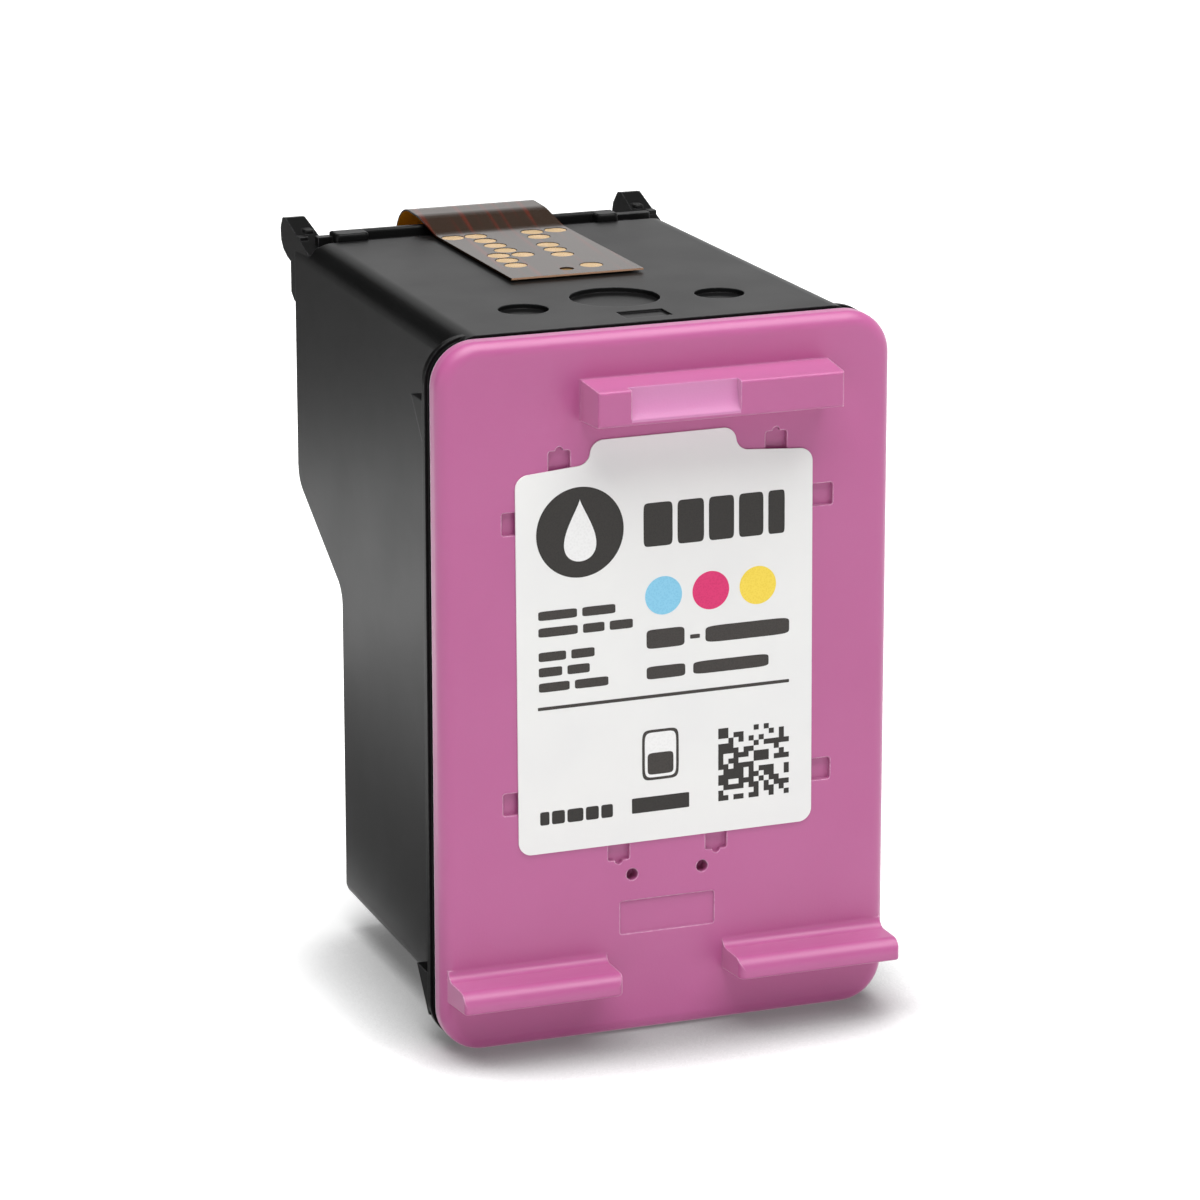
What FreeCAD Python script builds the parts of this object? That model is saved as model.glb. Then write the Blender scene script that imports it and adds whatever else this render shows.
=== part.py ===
import FreeCAD, Part
import math
import os
import Sketcher

# Inkjet ink cartridge with its print head built in, standing with its contact face up.
# +Z is up. The lid faces -Y and the nozzle face +Y. Every sub-part is drawn with y = 0 on the lid's back
# plane and z = 0 under the rim, and its Placement then moves it back by lidplane, so that the origin lies
# under the middle of the whole cartridge.

Vector = FreeCAD.Vector
document = FreeCAD.newDocument("ink_cartridge")

# Driving dimensions in millimetres: name, value, what it is.
DRIVING = [
    ("lidplane", -19.65, "the lid's back plane along Y, from the middle of the cartridge"),
    ("width", 36.5, "lid and rim, side to side"),
    ("height", 55.25, "lid and rim, bottom to top"),
    ("cornerround", 3.4, "outer corners of lid and rim"),
    ("lidthick", 1.9, "lid plate"),
    ("lidedge", 1.05, "rounding of the lid's front edge"),
    ("seam", 0.55, "weld step between lid and rim"),
    ("seaminset", 0.3, "how far the weld step stands in"),
    ("neckback", 1.2, "back of the rim's first, narrower step"),
    ("rimback", 1.95, "back of the rim"),
    ("rimedge", 0.2, "rounding of the rim's edges"),
    ("mouthhalf", 16.2, "half width of the shell at its mouth"),
    ("snouthalf", 15.48, "half width of the shell at the nozzle face"),
    ("mouthlow", 2.5, "underside of the shell at its mouth"),
    ("snoutlow", 3.2, "the same draft line carried on to the nozzle face"),
    ("topface", 55.37, "height of the contact face"),
    ("nozzleface", 41.35, "depth of the nozzle face"),
    ("lowerback", 29.65, "depth of the lower back face"),
    ("slopelow", 28.3, "height where the snout's slope starts"),
    ("slopehigh", 34.76, "height where the slope meets the nozzle face"),
    ("crown", 1.9, "rounding along the top corners"),
    ("bottomround", 1.0, "rounding along the bottom corners"),
    ("backround", 0.6, "rounding of the back corners"),
    ("kneeround", 2.6, "rounding where slope and nozzle face meet"),
    ("throatround", 1.8, "rounding where lower back and slope meet"),
    ("wall", 1.2, "partition walls"),
    ("chamberhalf", 14.3, "half width of the chambers"),
    ("chamberlow", 4.6, "bottom of the lower chamber"),
    ("chambersplit", 20.3, "middle of the level partition"),
    ("chambertop", 53.7, "top of the upper chambers"),
    ("chamberfloor", 28.1, "depth of the chambers"),
    ("chamberround", 1.2, "corners of the chambers"),
    ("wellfloor", 34.2, "depth of the wells in the snout"),
    ("wellinner", 2.4, "inner side of a well"),
    ("wellouter", 13.9, "outer side of a well"),
    ("welllow", 34.0, "bottom of the wells"),
    ("welltop", 53.4, "top of the wells"),
    ("towerwide", 8.0, "diameter of a standpipe"),
    ("towerbore", 6.0, "diameter of its bore"),
    ("towerside", 7.8, "upper standpipes, from the middle"),
    ("towerhigh", 44.0, "height of the upper standpipes"),
    ("towerlow", 12.2, "height of the lower standpipe"),
    ("lowfilter", 25.0, "depth of the lower filter"),
    ("filterthick", 0.15, "steel mesh filters"),
    ("ductfront", 26.3, "near side of the lower chamber's ink duct"),
    ("ductback", 27.9, "far side of that duct"),
    ("ducthalf", 0.5, "half width of the duct"),
    ("ribhalf", 2.1, "half width of the rib round the duct"),
    ("ribfront", 25.3, "near side of that rib"),
    ("pocketwide", 4.8, "pocket for the print head chip, width"),
    ("pockethigh", 10.4, "the same, height"),
    ("pocketdeep", 0.75, "the same, depth"),
    ("headheight", 44.6, "height of the chip's middle"),
    ("slotpitch", 1.3, "from one ink slot to the next"),
    ("slotwide", 0.6, "width of an ink slot"),
    ("slothigh", 7.4, "length of an ink slot"),
    ("slotroot", 39.4, "depth where the ink slots start"),
    ("bigrecess", 7.0, "middle round recess, diameter"),
    ("bigrecessdepth", 9.3, "the same, from the lid's back plane"),
    ("smallrecess", 3.9, "side round recesses, diameter"),
    ("smallrecessdepth", 7.75, "the same, from the lid's back plane"),
    ("smallrecessside", 8.0, "the same, from the middle"),
    ("recess", 0.38, "depth of the round recesses"),
    ("padrecess", 0.15, "depth of the square recess at the rim"),
    ("padhalf", 1.87, "half width of the square recess"),
    ("padback", 4.3, "back of the square recess"),
    ("ledgefront", 36.4, "where the contact face ends"),
    ("ledge", 54.98, "height of the ledge behind it"),
    ("ledgeround", 2.0, "rounding from the ledge down to the nozzle face"),
    ("ribnear", 38.3, "near side of the cross rib"),
    ("ribfar", 39.1, "far side of the cross rib"),
    ("ribtop", 55.84, "height of the cross rib"),
    ("ribleft", -13.1, "cross rib, left end"),
    ("ribright", 11.2, "cross rib, right end"),
    ("riblow", 55.5, "height of the rib's lower ends beside the ears"),
    ("ribreach", 14.3, "half length of the lower ends"),
    ("blockfront", 37.15, "near side of the rib's thicker end lengths"),
    ("earinner", 13.4, "inner face of the ears at their foot"),
    ("earslim", 13.78, "the same, at their top"),
    ("earouter", 15.42, "outer face of the ears"),
    ("eartop", 56.25, "top of the ears"),
    ("earchannel", 54.3, "floor of the channel beside an ear"),
    ("bossinner", 13.86, "boss on an ear's slope, inner side"),
    ("bossouter", 14.72, "the same, outer side"),
    ("bossfront", 40.55, "the same, near side"),
    ("bosstop", 55.68, "the same, top"),
    ("steptop", 55.34, "small step on an ear's slope, top"),
    ("stepfront", 39.6, "the same, near side"),
    ("gussethalf", 16.0, "root of the gussets"),
    ("gussetdeep", 2.6, "depth of a gusset behind the rim"),
    ("gussetlong", 3.3, "height of a gusset"),
    ("gussethigh", 50.4, "top of the upper gussets"),
    ("gussetlow", 5.5, "top of the lower gussets"),
    ("barleft", -7.07, "latch bar, left end"),
    ("barright", 12.9, "latch bar, right end"),
    ("barlow", 48.78, "latch bar, underside at the lid"),
    ("barhigh", 51.94, "latch bar, top at the lid"),
    ("bardraft", 0.22, "how much each side narrows towards the front"),
    ("barout", 3.8, "how far the bar stands out"),
    ("scoopleft", -4.42, "finger scoop in the bar, left"),
    ("scoopright", 4.3, "finger scoop, right"),
    ("scoopdeep", 0.75, "finger scoop, depth"),
    ("scooplip", 0.42, "lip left under the scoop"),
    ("finside", 17.85, "outer ends of the fins"),
    ("finleft", -5.0, "inner end of the left fin"),
    ("finright", 4.55, "inner end of the right fin"),
    ("finlow", 4.25, "underside of the fins at the lid"),
    ("finlip", 4.5, "lower edge of the fins' nose"),
    ("finhigh", 6.1, "top of the fins"),
    ("finout", 3.82, "how far the fins stand out"),
    ("finround", 1.1, "nose of the fins, upper rounding"),
    ("finroot", 0.75, "rounding where the fins leave the lid"),
    ("finend", 0.6, "rounding of the fins' inner corners"),
    ("finsharp", 0.25, "rounding of the fins' outer corners"),
    ("ventdeep", 0.4, "depth of the vent channels"),
    ("platedeep", 0.14, "depth of the bare plate on the lid"),
    ("presslong", 2.8, "reach of the foam-pressing ribs"),
    ("foamgap", 0.1, "room round each foam"),
    ("labelthick", 0.12, "label film"),
    ("labelwide", 24.0, "label, width"),
    ("labellow", 15.4, "label, bottom"),
    ("labelshoulder", 45.1, "label, shoulders"),
    ("labeltop", 47.25, "label, top of its tab"),
    ("labelmiddle", -0.22, "label, middle"),
    ("tableft", -6.1, "label tab, left"),
    ("tabright", 5.4, "label tab, right"),
    ("labelround", 1.05, "label, corners"),
    ("labelturn", 0.33, "label, degrees that it sits crooked"),
    ("filmgap", 0.16, "adhesive film under the circuit"),
    ("filmthick", 0.14, "flexible circuit"),
    ("filmwide", 10.95, "flexible circuit, width"),
    ("filmfront", 17.2, "flexible circuit, near end"),
    ("filmlow", 37.6, "flexible circuit, lower end on the nozzle face"),
    ("rampfoot", 34.9, "where the circuit lifts off the contact face"),
    ("rampfootround", 6.0, "bend there"),
    ("rampend", 39.1, "end of the circuit's ramp"),
    ("rampheight", 56.43, "height there"),
    ("rampendround", 8.0, "bend there"),
    ("crest", 44.04, "corner of the circuit's crest"),
    ("crestheight", 56.555, "height of that corner"),
    ("crestround", 3.44, "bend of the crest"),
    ("bulge", 45.42, "corner of the bulge behind the cross rib"),
    ("bulgeheight", 52.77, "height of that corner"),
    ("bulgeround", 1.44, "bend of the bulge"),
    ("landing", 51.34, "height where the circuit comes back to the nozzle face"),
    ("landinground", 0.9, "bend there"),
    ("holeacross", -0.19, "alignment hole in the circuit, from the middle"),
    ("holedepth", 19.13, "the same, from the lid's back plane"),
    ("holewide", 1.15, "the same, diameter"),
    ("gluelong", 15.4, "adhesive film under the circuit, length"),
    ("glueinset", 0.7, "how far it stands back from the circuit's edges"),
    ("padwide", 1.75, "contact pads, diameter"),
    ("padroom", 0.06, "gap between a pad and the edge of its opening"),
    ("padthick", 0.05, "contact pads, thickness"),
    ("padsunk", 0.08, "depth of the openings that the pads lie in"),
    ("chipwide", 4.2, "print head chip, width"),
    ("chiphigh", 9.6, "print head chip, height"),
    ("chipthick", 0.62, "print head chip, thickness"),
    ("bondthick", 0.13, "adhesive under the chip"),
    ("platethick", 0.07, "nozzle plate, thickness"),
    ("plateinset", 0.3, "how far the nozzle plate stands back from the chip's sides"),
    ("plateend", 0.9, "the same, from the chip's ends"),
]


# Contact pads: (across, depth from the lid's back plane) of each middle, in the order of their columns.
PAD_PLACES = [
    (-4.5, 33.55), (-2.59, 33.48), (-2.48, 31.52), (-2.37, 29.5), (-2.25, 27.48),
    (-3.45, 25.72), (-3.45, 23.78), (-3.45, 21.8), (-1.52, 25.45),
    (2.23, 33.5), (4.26, 33.55), (2.09, 31.52), (1.66, 28.32), (1.55, 26.38), (1.43, 24.42), (2.12, 19.82),
]


class Size:
    """A length together with the formula that the sheet works it out by."""

    def __init__(self, value, formula):
        self.value = value
        self.formula = formula

    def join(self, sign, other, value):
        return Size(value, "(%s %s %s)" % (self.formula, sign, other.formula))

    def __add__(self, other):
        other = as_size(other)
        return self.join("+", other, self.value + other.value)

    def __sub__(self, other):
        other = as_size(other)
        return self.join("-", other, self.value - other.value)

    def __mul__(self, other):
        other = as_size(other)
        return self.join("*", other, self.value * other.value)

    def __truediv__(self, other):
        other = as_size(other)
        return self.join("/", other, self.value / other.value)

    def __neg__(self):
        return Size(-self.value, "(0 - %s)" % self.formula)


def as_size(number):
    return number if isinstance(number, Size) else Size(float(number), "(%g)" % number)


def fill_sheet():
    """Puts the driving dimensions in the sheet and returns them by name."""
    sheet = document.addObject("Spreadsheet::Sheet", "dims")
    sizes = {}
    for row, (name, value, note) in enumerate(DRIVING, start=1):
        sheet.set("A%d" % row, name)
        sheet.set("B%d" % row, "%g" % value)
        sheet.set("C%d" % row, note)
        sheet.setAlias("B%d" % row, name)
        sizes[name] = Size(value, "dims." + name)
    document.recompute()
    return sizes


D = fill_sheet()


# Sketches: the planes are the body's own, and each distance is bound to the sheet.

def bind(thing, path, size):
    thing.setExpression(path, as_size(size).formula)


def new_body(label):
    body = document.addObject("PartDesign::Body", label)
    body.Label = label
    bind(body, "Placement.Base.y", D["lidplane"])
    return body


def new_sketch(body, name, role, away=None):
    """A sketch on one of the body's origin planes, moved along the plane's normal by away."""
    sketch = body.newObject("Sketcher::SketchObject", name)
    plane = next(item for item in body.Origin.OriginFeatures if item.Role == role)
    sketch.AttachmentSupport = [(plane, "")]
    sketch.MapMode = "FlatFace"
    if away is not None:
        bind(sketch, "AttachmentOffset.Base.z", away)
    return sketch


def front_sketch(body, name, depth):
    """A sketch seen from the lid's side, x to the right and z up, at a depth behind the lid's back plane."""
    return new_sketch(body, name, "XZ_Plane", -as_size(depth))


def side_sketch(body, name, across=None):
    """A sketch seen from the right, depth to the right and z up, at a distance across from the middle."""
    return new_sketch(body, name, "YZ_Plane", across)


def top_sketch(body, name, level):
    return new_sketch(body, name, "XY_Plane", level)


def hold(sketch, kind, geometry, point, size):
    size = as_size(size)
    number = sketch.addConstraint(Sketcher.Constraint(kind, -1, 1, geometry, point, size.value))
    bind(sketch, "Constraints[%d]" % number, size)


def arc_between(start, end, radius):
    """The short arc from start to end, to the left of the line between them where radius is positive."""
    chord = end - start
    middle = start + chord / 2
    aside = Vector(-chord.y, chord.x, 0).normalize()
    away = math.sqrt(radius * radius - chord.Length ** 2 / 4)
    centre = middle + aside * (away if radius > 0 else -away)
    first, last = (start, end) if radius > 0 else (end, start)
    begin = math.atan2(first.y - centre.y, first.x - centre.x)
    finish = math.atan2(last.y - centre.y, last.x - centre.x)
    if finish < begin:
        finish += 2 * math.pi
    return Part.ArcOfCircle(Part.Circle(centre, Vector(0, 0, 1), abs(radius)), begin, finish)


def polygon(sketch, corners, arcs=None):
    """A closed outline whose corners are held by their two distances from the origin.

    arcs gives, by corner number, the radius of the side that starts there: positive bends outwards
    when the corners run anticlockwise."""
    arcs = arcs or {}
    corners = [(as_size(across), as_size(up)) for across, up in corners]
    first = sketch.GeometryCount
    count = len(corners)
    ends = []
    for index, (across, up) in enumerate(corners):
        follow = corners[(index + 1) % count]
        start = Vector(across.value, up.value, 0)
        end = Vector(follow[0].value, follow[1].value, 0)
        radius = arcs.get(index)
        if radius is None:
            sketch.addGeometry(Part.LineSegment(start, end), False)
        else:
            sketch.addGeometry(arc_between(start, end, radius.value), False)
        ends.append((2, 1) if radius is not None and radius.value < 0 else (1, 2))
    for index, (across, up) in enumerate(corners):
        after = (index + 1) % count
        sketch.addConstraint(
            Sketcher.Constraint("Coincident", first + index, ends[index][1], first + after, ends[after][0]))
    for index, (across, up) in enumerate(corners):
        hold(sketch, "DistanceX", first + index, ends[index][0], across)
        hold(sketch, "DistanceY", first + index, ends[index][0], up)
    for index, radius in arcs.items():
        number = sketch.addConstraint(Sketcher.Constraint("Radius", first + index, abs(radius.value)))
        bind(sketch, "Constraints[%d]" % number, radius if radius.value > 0 else -radius)
    return sketch


def rectangle(sketch, left, right, low, high):
    return polygon(sketch, [(left, low), (right, low), (right, high), (left, high)])


def round_rectangle(sketch, left, right, low, high, radius):
    """A rectangle whose four corners are arcs, tangent to its sides."""
    left, right, low, high, radius = [as_size(item) for item in (left, right, low, high, radius)]
    x0, x1, z0, z1, r = left.value, right.value, low.value, high.value, radius.value
    first = sketch.GeometryCount
    sides = [((x0 + r, z0), (x1 - r, z0)), ((x1, z0 + r), (x1, z1 - r)),
             ((x1 - r, z1), (x0 + r, z1)), ((x0, z1 - r), (x0, z0 + r))]
    centres = [(x1 - r, z0 + r), (x1 - r, z1 - r), (x0 + r, z1 - r), (x0 + r, z0 + r)]
    for start, end in sides:
        sketch.addGeometry(Part.LineSegment(Vector(*start, 0), Vector(*end, 0)), False)
    for turn, centre in enumerate(centres):
        begin = math.radians(90 * turn - 90)
        circle = Part.Circle(Vector(*centre, 0), Vector(0, 0, 1), r)
        sketch.addGeometry(Part.ArcOfCircle(circle, begin, begin + math.pi / 2), False)
    for turn in range(4):
        side, arc, after = first + turn, first + 4 + turn, first + (turn + 1) % 4
        sketch.addConstraint(Sketcher.Constraint("Tangent", side, 2, arc, 1))
        sketch.addConstraint(Sketcher.Constraint("Tangent", arc, 2, after, 1))
        level = "Horizontal" if turn % 2 == 0 else "Vertical"
        sketch.addConstraint(Sketcher.Constraint(level, side))
        if turn:
            sketch.addConstraint(Sketcher.Constraint("Equal", first + 4, arc))
    number = sketch.addConstraint(Sketcher.Constraint("Radius", first + 4, r))
    bind(sketch, "Constraints[%d]" % number, radius)
    hold(sketch, "DistanceX", first + 3, 1, left)
    hold(sketch, "DistanceX", first + 1, 1, right)
    hold(sketch, "DistanceY", first, 1, low)
    hold(sketch, "DistanceY", first + 2, 1, high)
    return sketch


def bend_corner(before, corner, after, radius):
    """Where a tangent arc round a corner starts and ends, and its centre."""
    arrive = (corner - before).normalize()
    leave = (after - corner).normalize()
    turn = arrive.getAngle(leave)
    reach = radius * math.tan(turn / 2)
    centre = corner + (leave - arrive).normalize() * (radius / math.cos(turn / 2))
    return corner - arrive * reach, corner + leave * reach, centre


def bent_path(sketch, route):
    """An open line through (across, up, radius) corners, with a tangent arc at each inner corner."""
    route = [[as_size(item) for item in corner] for corner in route]
    points = [Vector(across.value, up.value, 0) for across, up, radius in route]
    last = len(route) - 1
    bends = [bend_corner(points[i - 1], points[i], points[i + 1], route[i][2].value) for i in range(1, last)]
    starts = [points[0]] + [bend[1] for bend in bends]
    ends = [bend[0] for bend in bends] + [points[-1]]
    lines = [sketch.addGeometry(Part.LineSegment(start, end), False) for start, end in zip(starts, ends)]
    hold(sketch, "DistanceX", lines[0], 1, route[0][0])
    hold(sketch, "DistanceY", lines[0], 1, route[0][1])
    hold(sketch, "DistanceX", lines[-1], 2, route[-1][0])
    hold(sketch, "DistanceY", lines[-1], 2, route[-1][1])
    for number, (first, second, centre) in enumerate(bends):
        across, up, radius = route[number + 1]
        corner = sketch.addGeometry(Part.Point(points[number + 1]), True)
        hold(sketch, "DistanceX", corner, 1, across)
        hold(sketch, "DistanceY", corner, 1, up)
        left_turn = (first - centre).cross(second - centre).z > 0
        begin, finish = (first, second) if left_turn else (second, first)
        circle = Part.Circle(centre, Vector(0, 0, 1), radius.value)
        low = math.atan2(begin.y - centre.y, begin.x - centre.x)
        high = math.atan2(finish.y - centre.y, finish.x - centre.x)
        arc = sketch.addGeometry(Part.ArcOfCircle(circle, low, high + (2 * math.pi if high < low else 0)), False)
        near_end, far_end = (1, 2) if left_turn else (2, 1)
        before, after = lines[number], lines[number + 1]
        sketch.addConstraint(Sketcher.Constraint("PointOnObject", corner, 1, before))
        sketch.addConstraint(Sketcher.Constraint("PointOnObject", corner, 1, after))
        sketch.addConstraint(Sketcher.Constraint("Tangent", before, 2, arc, near_end))
        sketch.addConstraint(Sketcher.Constraint("Tangent", arc, far_end, after, 1))
        held = sketch.addConstraint(Sketcher.Constraint("Radius", arc, radius.value))
        bind(sketch, "Constraints[%d]" % held, radius)
    return sketch


def disc(sketch, across, up, diameter):
    across, up, diameter = as_size(across), as_size(up), as_size(diameter)
    centre = Vector(across.value, up.value, 0)
    number = sketch.addGeometry(Part.Circle(centre, Vector(0, 0, 1), diameter.value / 2), False)
    hold(sketch, "DistanceX", number, 3, across)
    hold(sketch, "DistanceY", number, 3, up)
    held = sketch.addConstraint(Sketcher.Constraint("Diameter", number, diameter.value))
    bind(sketch, "Constraints[%d]" % held, diameter)
    return sketch


# Features: a front sketch is padded or cut towards +Y, a side sketch towards +X and a top sketch downwards.

def grow(body, name, sketch, length, flip=False, both=False):
    feature = body.newObject("PartDesign::Pad", name)
    feature.Profile = sketch
    bind(feature, "Length", length)
    feature.Reversed = flip
    if both:
        feature.SideType = "Symmetric"
    return feature


def cut(body, name, sketch, length, flip=False, both=False):
    """Cuts a pocket, and stops if it took nothing away."""
    document.recompute()
    before = body.Shape.Volume
    feature = body.newObject("PartDesign::Pocket", name)
    feature.Profile = sketch
    bind(feature, "Length", length)
    feature.Reversed = flip
    if both:
        feature.SideType = "Symmetric"
    document.recompute()
    if not body.Shape.Volume < before - 1e-6:
        raise RuntimeError(name + " cuts nothing")
    return feature


def mirror(body, name, originals):
    """Repeats features on the other side of the middle plane."""
    feature = body.newObject("PartDesign::Mirrored", name)
    feature.Originals = originals
    plane = next(item for item in body.Origin.OriginFeatures if item.Role == "YZ_Plane")
    feature.MirrorPlane = (plane, [""])
    body.Tip = feature
    document.recompute()
    return feature


def soften(body, name, radius, wanted):
    """Rounds the edges of the body's latest shape that pass the test wanted(edge)."""
    document.recompute()
    base = body.Tip
    names = ["Edge%d" % number for number, edge in enumerate(base.Shape.Edges, start=1) if wanted(edge)]
    if not names:
        raise RuntimeError(name + " finds no edge")
    feature = body.newObject("PartDesign::Fillet", name)
    feature.Base = (base, names)
    bind(feature, "Radius", radius)
    document.recompute()
    if "Invalid" in feature.State or feature.Shape.isNull():
        raise RuntimeError("%s can't be rounded: %s" % (name, names))
    return feature


def runs_along(edge, axis):
    """Whether an edge is straight and lies along X, Y or Z within 3 degrees."""
    if len(edge.Vertexes) != 2:
        return False
    chord = edge.Vertexes[1].Point - edge.Vertexes[0].Point
    if edge.Length > chord.Length * 1.0001:
        return False
    return abs(getattr(chord, axis)) > chord.Length * math.cos(math.radians(3))


def near(value, target, room=0.12):
    return abs(value - target) < room


# The housing: one black moulding.

def shell_block(body):
    """The shell's outside: its side outline between drafted sides, with the outer edges rounded."""
    drop = (D["snoutlow"] - D["mouthlow"]) / (D["nozzleface"] - D["seam"])
    side = side_sketch(body, "ShellOutline")
    polygon(side, [(D["seam"], D["mouthlow"]),
                   (D["lowerback"], D["mouthlow"] + drop * (D["lowerback"] - D["seam"])),
                   (D["lowerback"], D["slopelow"]), (D["nozzleface"], D["slopehigh"]),
                   (D["nozzleface"], D["topface"]), (D["seam"], D["topface"])])
    grow(body, "Shell", side, D["mouthhalf"] * 2, both=True)
    draft = (D["mouthhalf"] - D["snouthalf"]) / (D["nozzleface"] - D["seam"])
    past = D["nozzleface"] + 2
    drafted = top_sketch(body, "SideDraftOutline", as_size(0))
    for hand in (-1, 1):
        polygon(drafted, [(D["mouthhalf"] * hand, D["seam"]), ((D["mouthhalf"] + 3) * hand, D["seam"]),
                          ((D["mouthhalf"] + 3) * hand, past), ((D["snouthalf"] - draft * 2) * hand, past)])
    cut(body, "SideDraft", drafted, D["height"] * 4, both=True)

    def along_depth(edge, high):
        centre = edge.CenterOfMass
        return runs_along(edge, "y") and (centre.z > 50) == high and abs(centre.x) > 14

    def across_at(edge, depth, height):
        centre = edge.CenterOfMass
        return runs_along(edge, "x") and near(centre.y, depth) and near(centre.z, height, 0.3)

    soften(body, "Throat", D["throatround"],
           lambda edge: across_at(edge, D["lowerback"].value, D["slopelow"].value))
    soften(body, "Knee", D["kneeround"],
           lambda edge: across_at(edge, D["nozzleface"].value, D["slopehigh"].value))
    soften(body, "Crown", D["crown"],
           lambda edge: along_depth(edge, True) and near(edge.CenterOfMass.z, D["topface"].value))
    soften(body, "BackCorners", D["backround"],
           lambda edge: edge.CenterOfMass.y > D["lowerback"].value - 0.05
           and abs(edge.CenterOfMass.x) > 15.3 and not runs_along(edge, "y"))
    soften(body, "BottomCorners", D["bottomround"],
           lambda edge: along_depth(edge, False) or edge.CenterOfMass.z < 3.2
           and edge.CenterOfMass.y > D["lowerback"].value - 0.7)


def rim(body):
    """The stepped rim round the mouth, and the four gussets that stiffen it."""
    half = D["width"] / 2
    neck = front_sketch(body, "RimNeckOutline", D["seam"])
    inset = D["seaminset"]
    round_rectangle(neck, inset - half, half - inset, inset, D["height"] - inset, D["cornerround"] - inset)
    grow(body, "RimNeck", neck, D["neckback"] - D["seam"], flip=True)
    outline = front_sketch(body, "RimOutline", D["neckback"])
    round_rectangle(outline, -half, half, 0, D["height"], D["cornerround"])
    grow(body, "Rim", outline, D["rimback"] - D["neckback"], flip=True)
    soften(body, "RimEdge", D["rimedge"],
           lambda edge: near(edge.CenterOfMass.y, D["rimback"].value, 0.02)
           and (abs(edge.CenterOfMass.x) > 16.4 or edge.CenterOfMass.z < 2.4)
           and max(abs(vertex.X) for vertex in edge.Vertexes) > 14.5)

    for name, top in (("UpperGusset", D["gussethigh"]), ("LowerGusset", D["gussetlow"])):
        side = side_sketch(body, name + "Outline", D["gussethalf"] - 0.6)
        root = D["rimback"] - 0.3
        polygon(side, [(root, top), (D["rimback"] + D["gussetdeep"], top),
                       (D["rimback"], top - D["gussetlong"]), (root, top - D["gussetlong"])])
        gusset = grow(body, name, side, half - D["gussethalf"] + 0.5)
        mirror(body, name + "Pair", [gusset])


def contact_face(body):
    """Recesses in the contact face, and the ledge, cross rib and its round ends behind it."""
    big = top_sketch(body, "BigRecessOutline", D["topface"])
    disc(big, 0, D["bigrecessdepth"], D["bigrecess"])
    cut(body, "BigRecess", big, D["recess"])
    small = top_sketch(body, "SmallRecessOutline", D["topface"])
    for side in (-1, 1):
        disc(small, D["smallrecessside"] * side, D["smallrecessdepth"], D["smallrecess"])
    cut(body, "SmallRecesses", small, D["recess"])
    square = top_sketch(body, "SquareRecessOutline", D["topface"])
    rectangle(square, -D["padhalf"], D["padhalf"], D["rimback"], D["padback"])
    cut(body, "SquareRecess", square, D["padrecess"])

    over, beyond = D["topface"] + 3, D["nozzleface"] + 3
    ledge = side_sketch(body, "LedgeOutline")
    turn = D["ledge"] - D["ledgeround"]
    polygon(ledge, [(D["ledgefront"], over), (D["ledgefront"], D["topface"]),
                    (D["ledgefront"] + 0.35, D["ledge"]), (D["nozzleface"] - D["ledgeround"], D["ledge"]),
                    (D["nozzleface"], turn), (beyond, turn), (beyond, over)], arcs={3: -D["ledgeround"]})
    cut(body, "Ledge", ledge, D["mouthhalf"] * 2, both=True)
    channels = front_sketch(body, "EarChannelOutline", D["ledgefront"] + 0.6)
    inner, outer = D["earinner"] - 0.9, D["mouthhalf"] + 1
    rectangle(channels, inner, outer, D["earchannel"], D["topface"] + 3)
    rectangle(channels, -outer, -inner, D["earchannel"], D["topface"] + 3)
    cut(body, "EarChannels", channels, D["nozzleface"])

    rib = front_sketch(body, "CrossRibOutline", D["ribnear"])
    root = D["ledge"] - 1
    polygon(rib, [(-D["ribreach"], root), (D["ribreach"], root), (D["ribreach"], D["riblow"]),
                  (D["ribright"], D["riblow"]), (D["ribright"], D["ribtop"]), (D["ribleft"], D["ribtop"]),
                  (D["ribleft"], D["riblow"]), (-D["ribreach"], D["riblow"])])
    grow(body, "CrossRib", rib, D["ribfar"] - D["ribnear"], flip=True)
    blocks = top_sketch(body, "RibBlockOutline", D["ribtop"])
    for left, right in ((D["ribright"] - 1.9, D["ribright"]), (D["ribleft"], D["ribleft"] + 2.8)):
        round_rectangle(blocks, left, right, D["blockfront"], D["ribfar"] - 0.05, as_size(0.45))
    grow(body, "RibBlocks", blocks, D["ribtop"] - root, flip=True)
    soften(body, "CrossRibTop", as_size(0.22), lambda edge: near(edge.CenterOfMass.z, D["ribtop"].value, 0.02))


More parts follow.
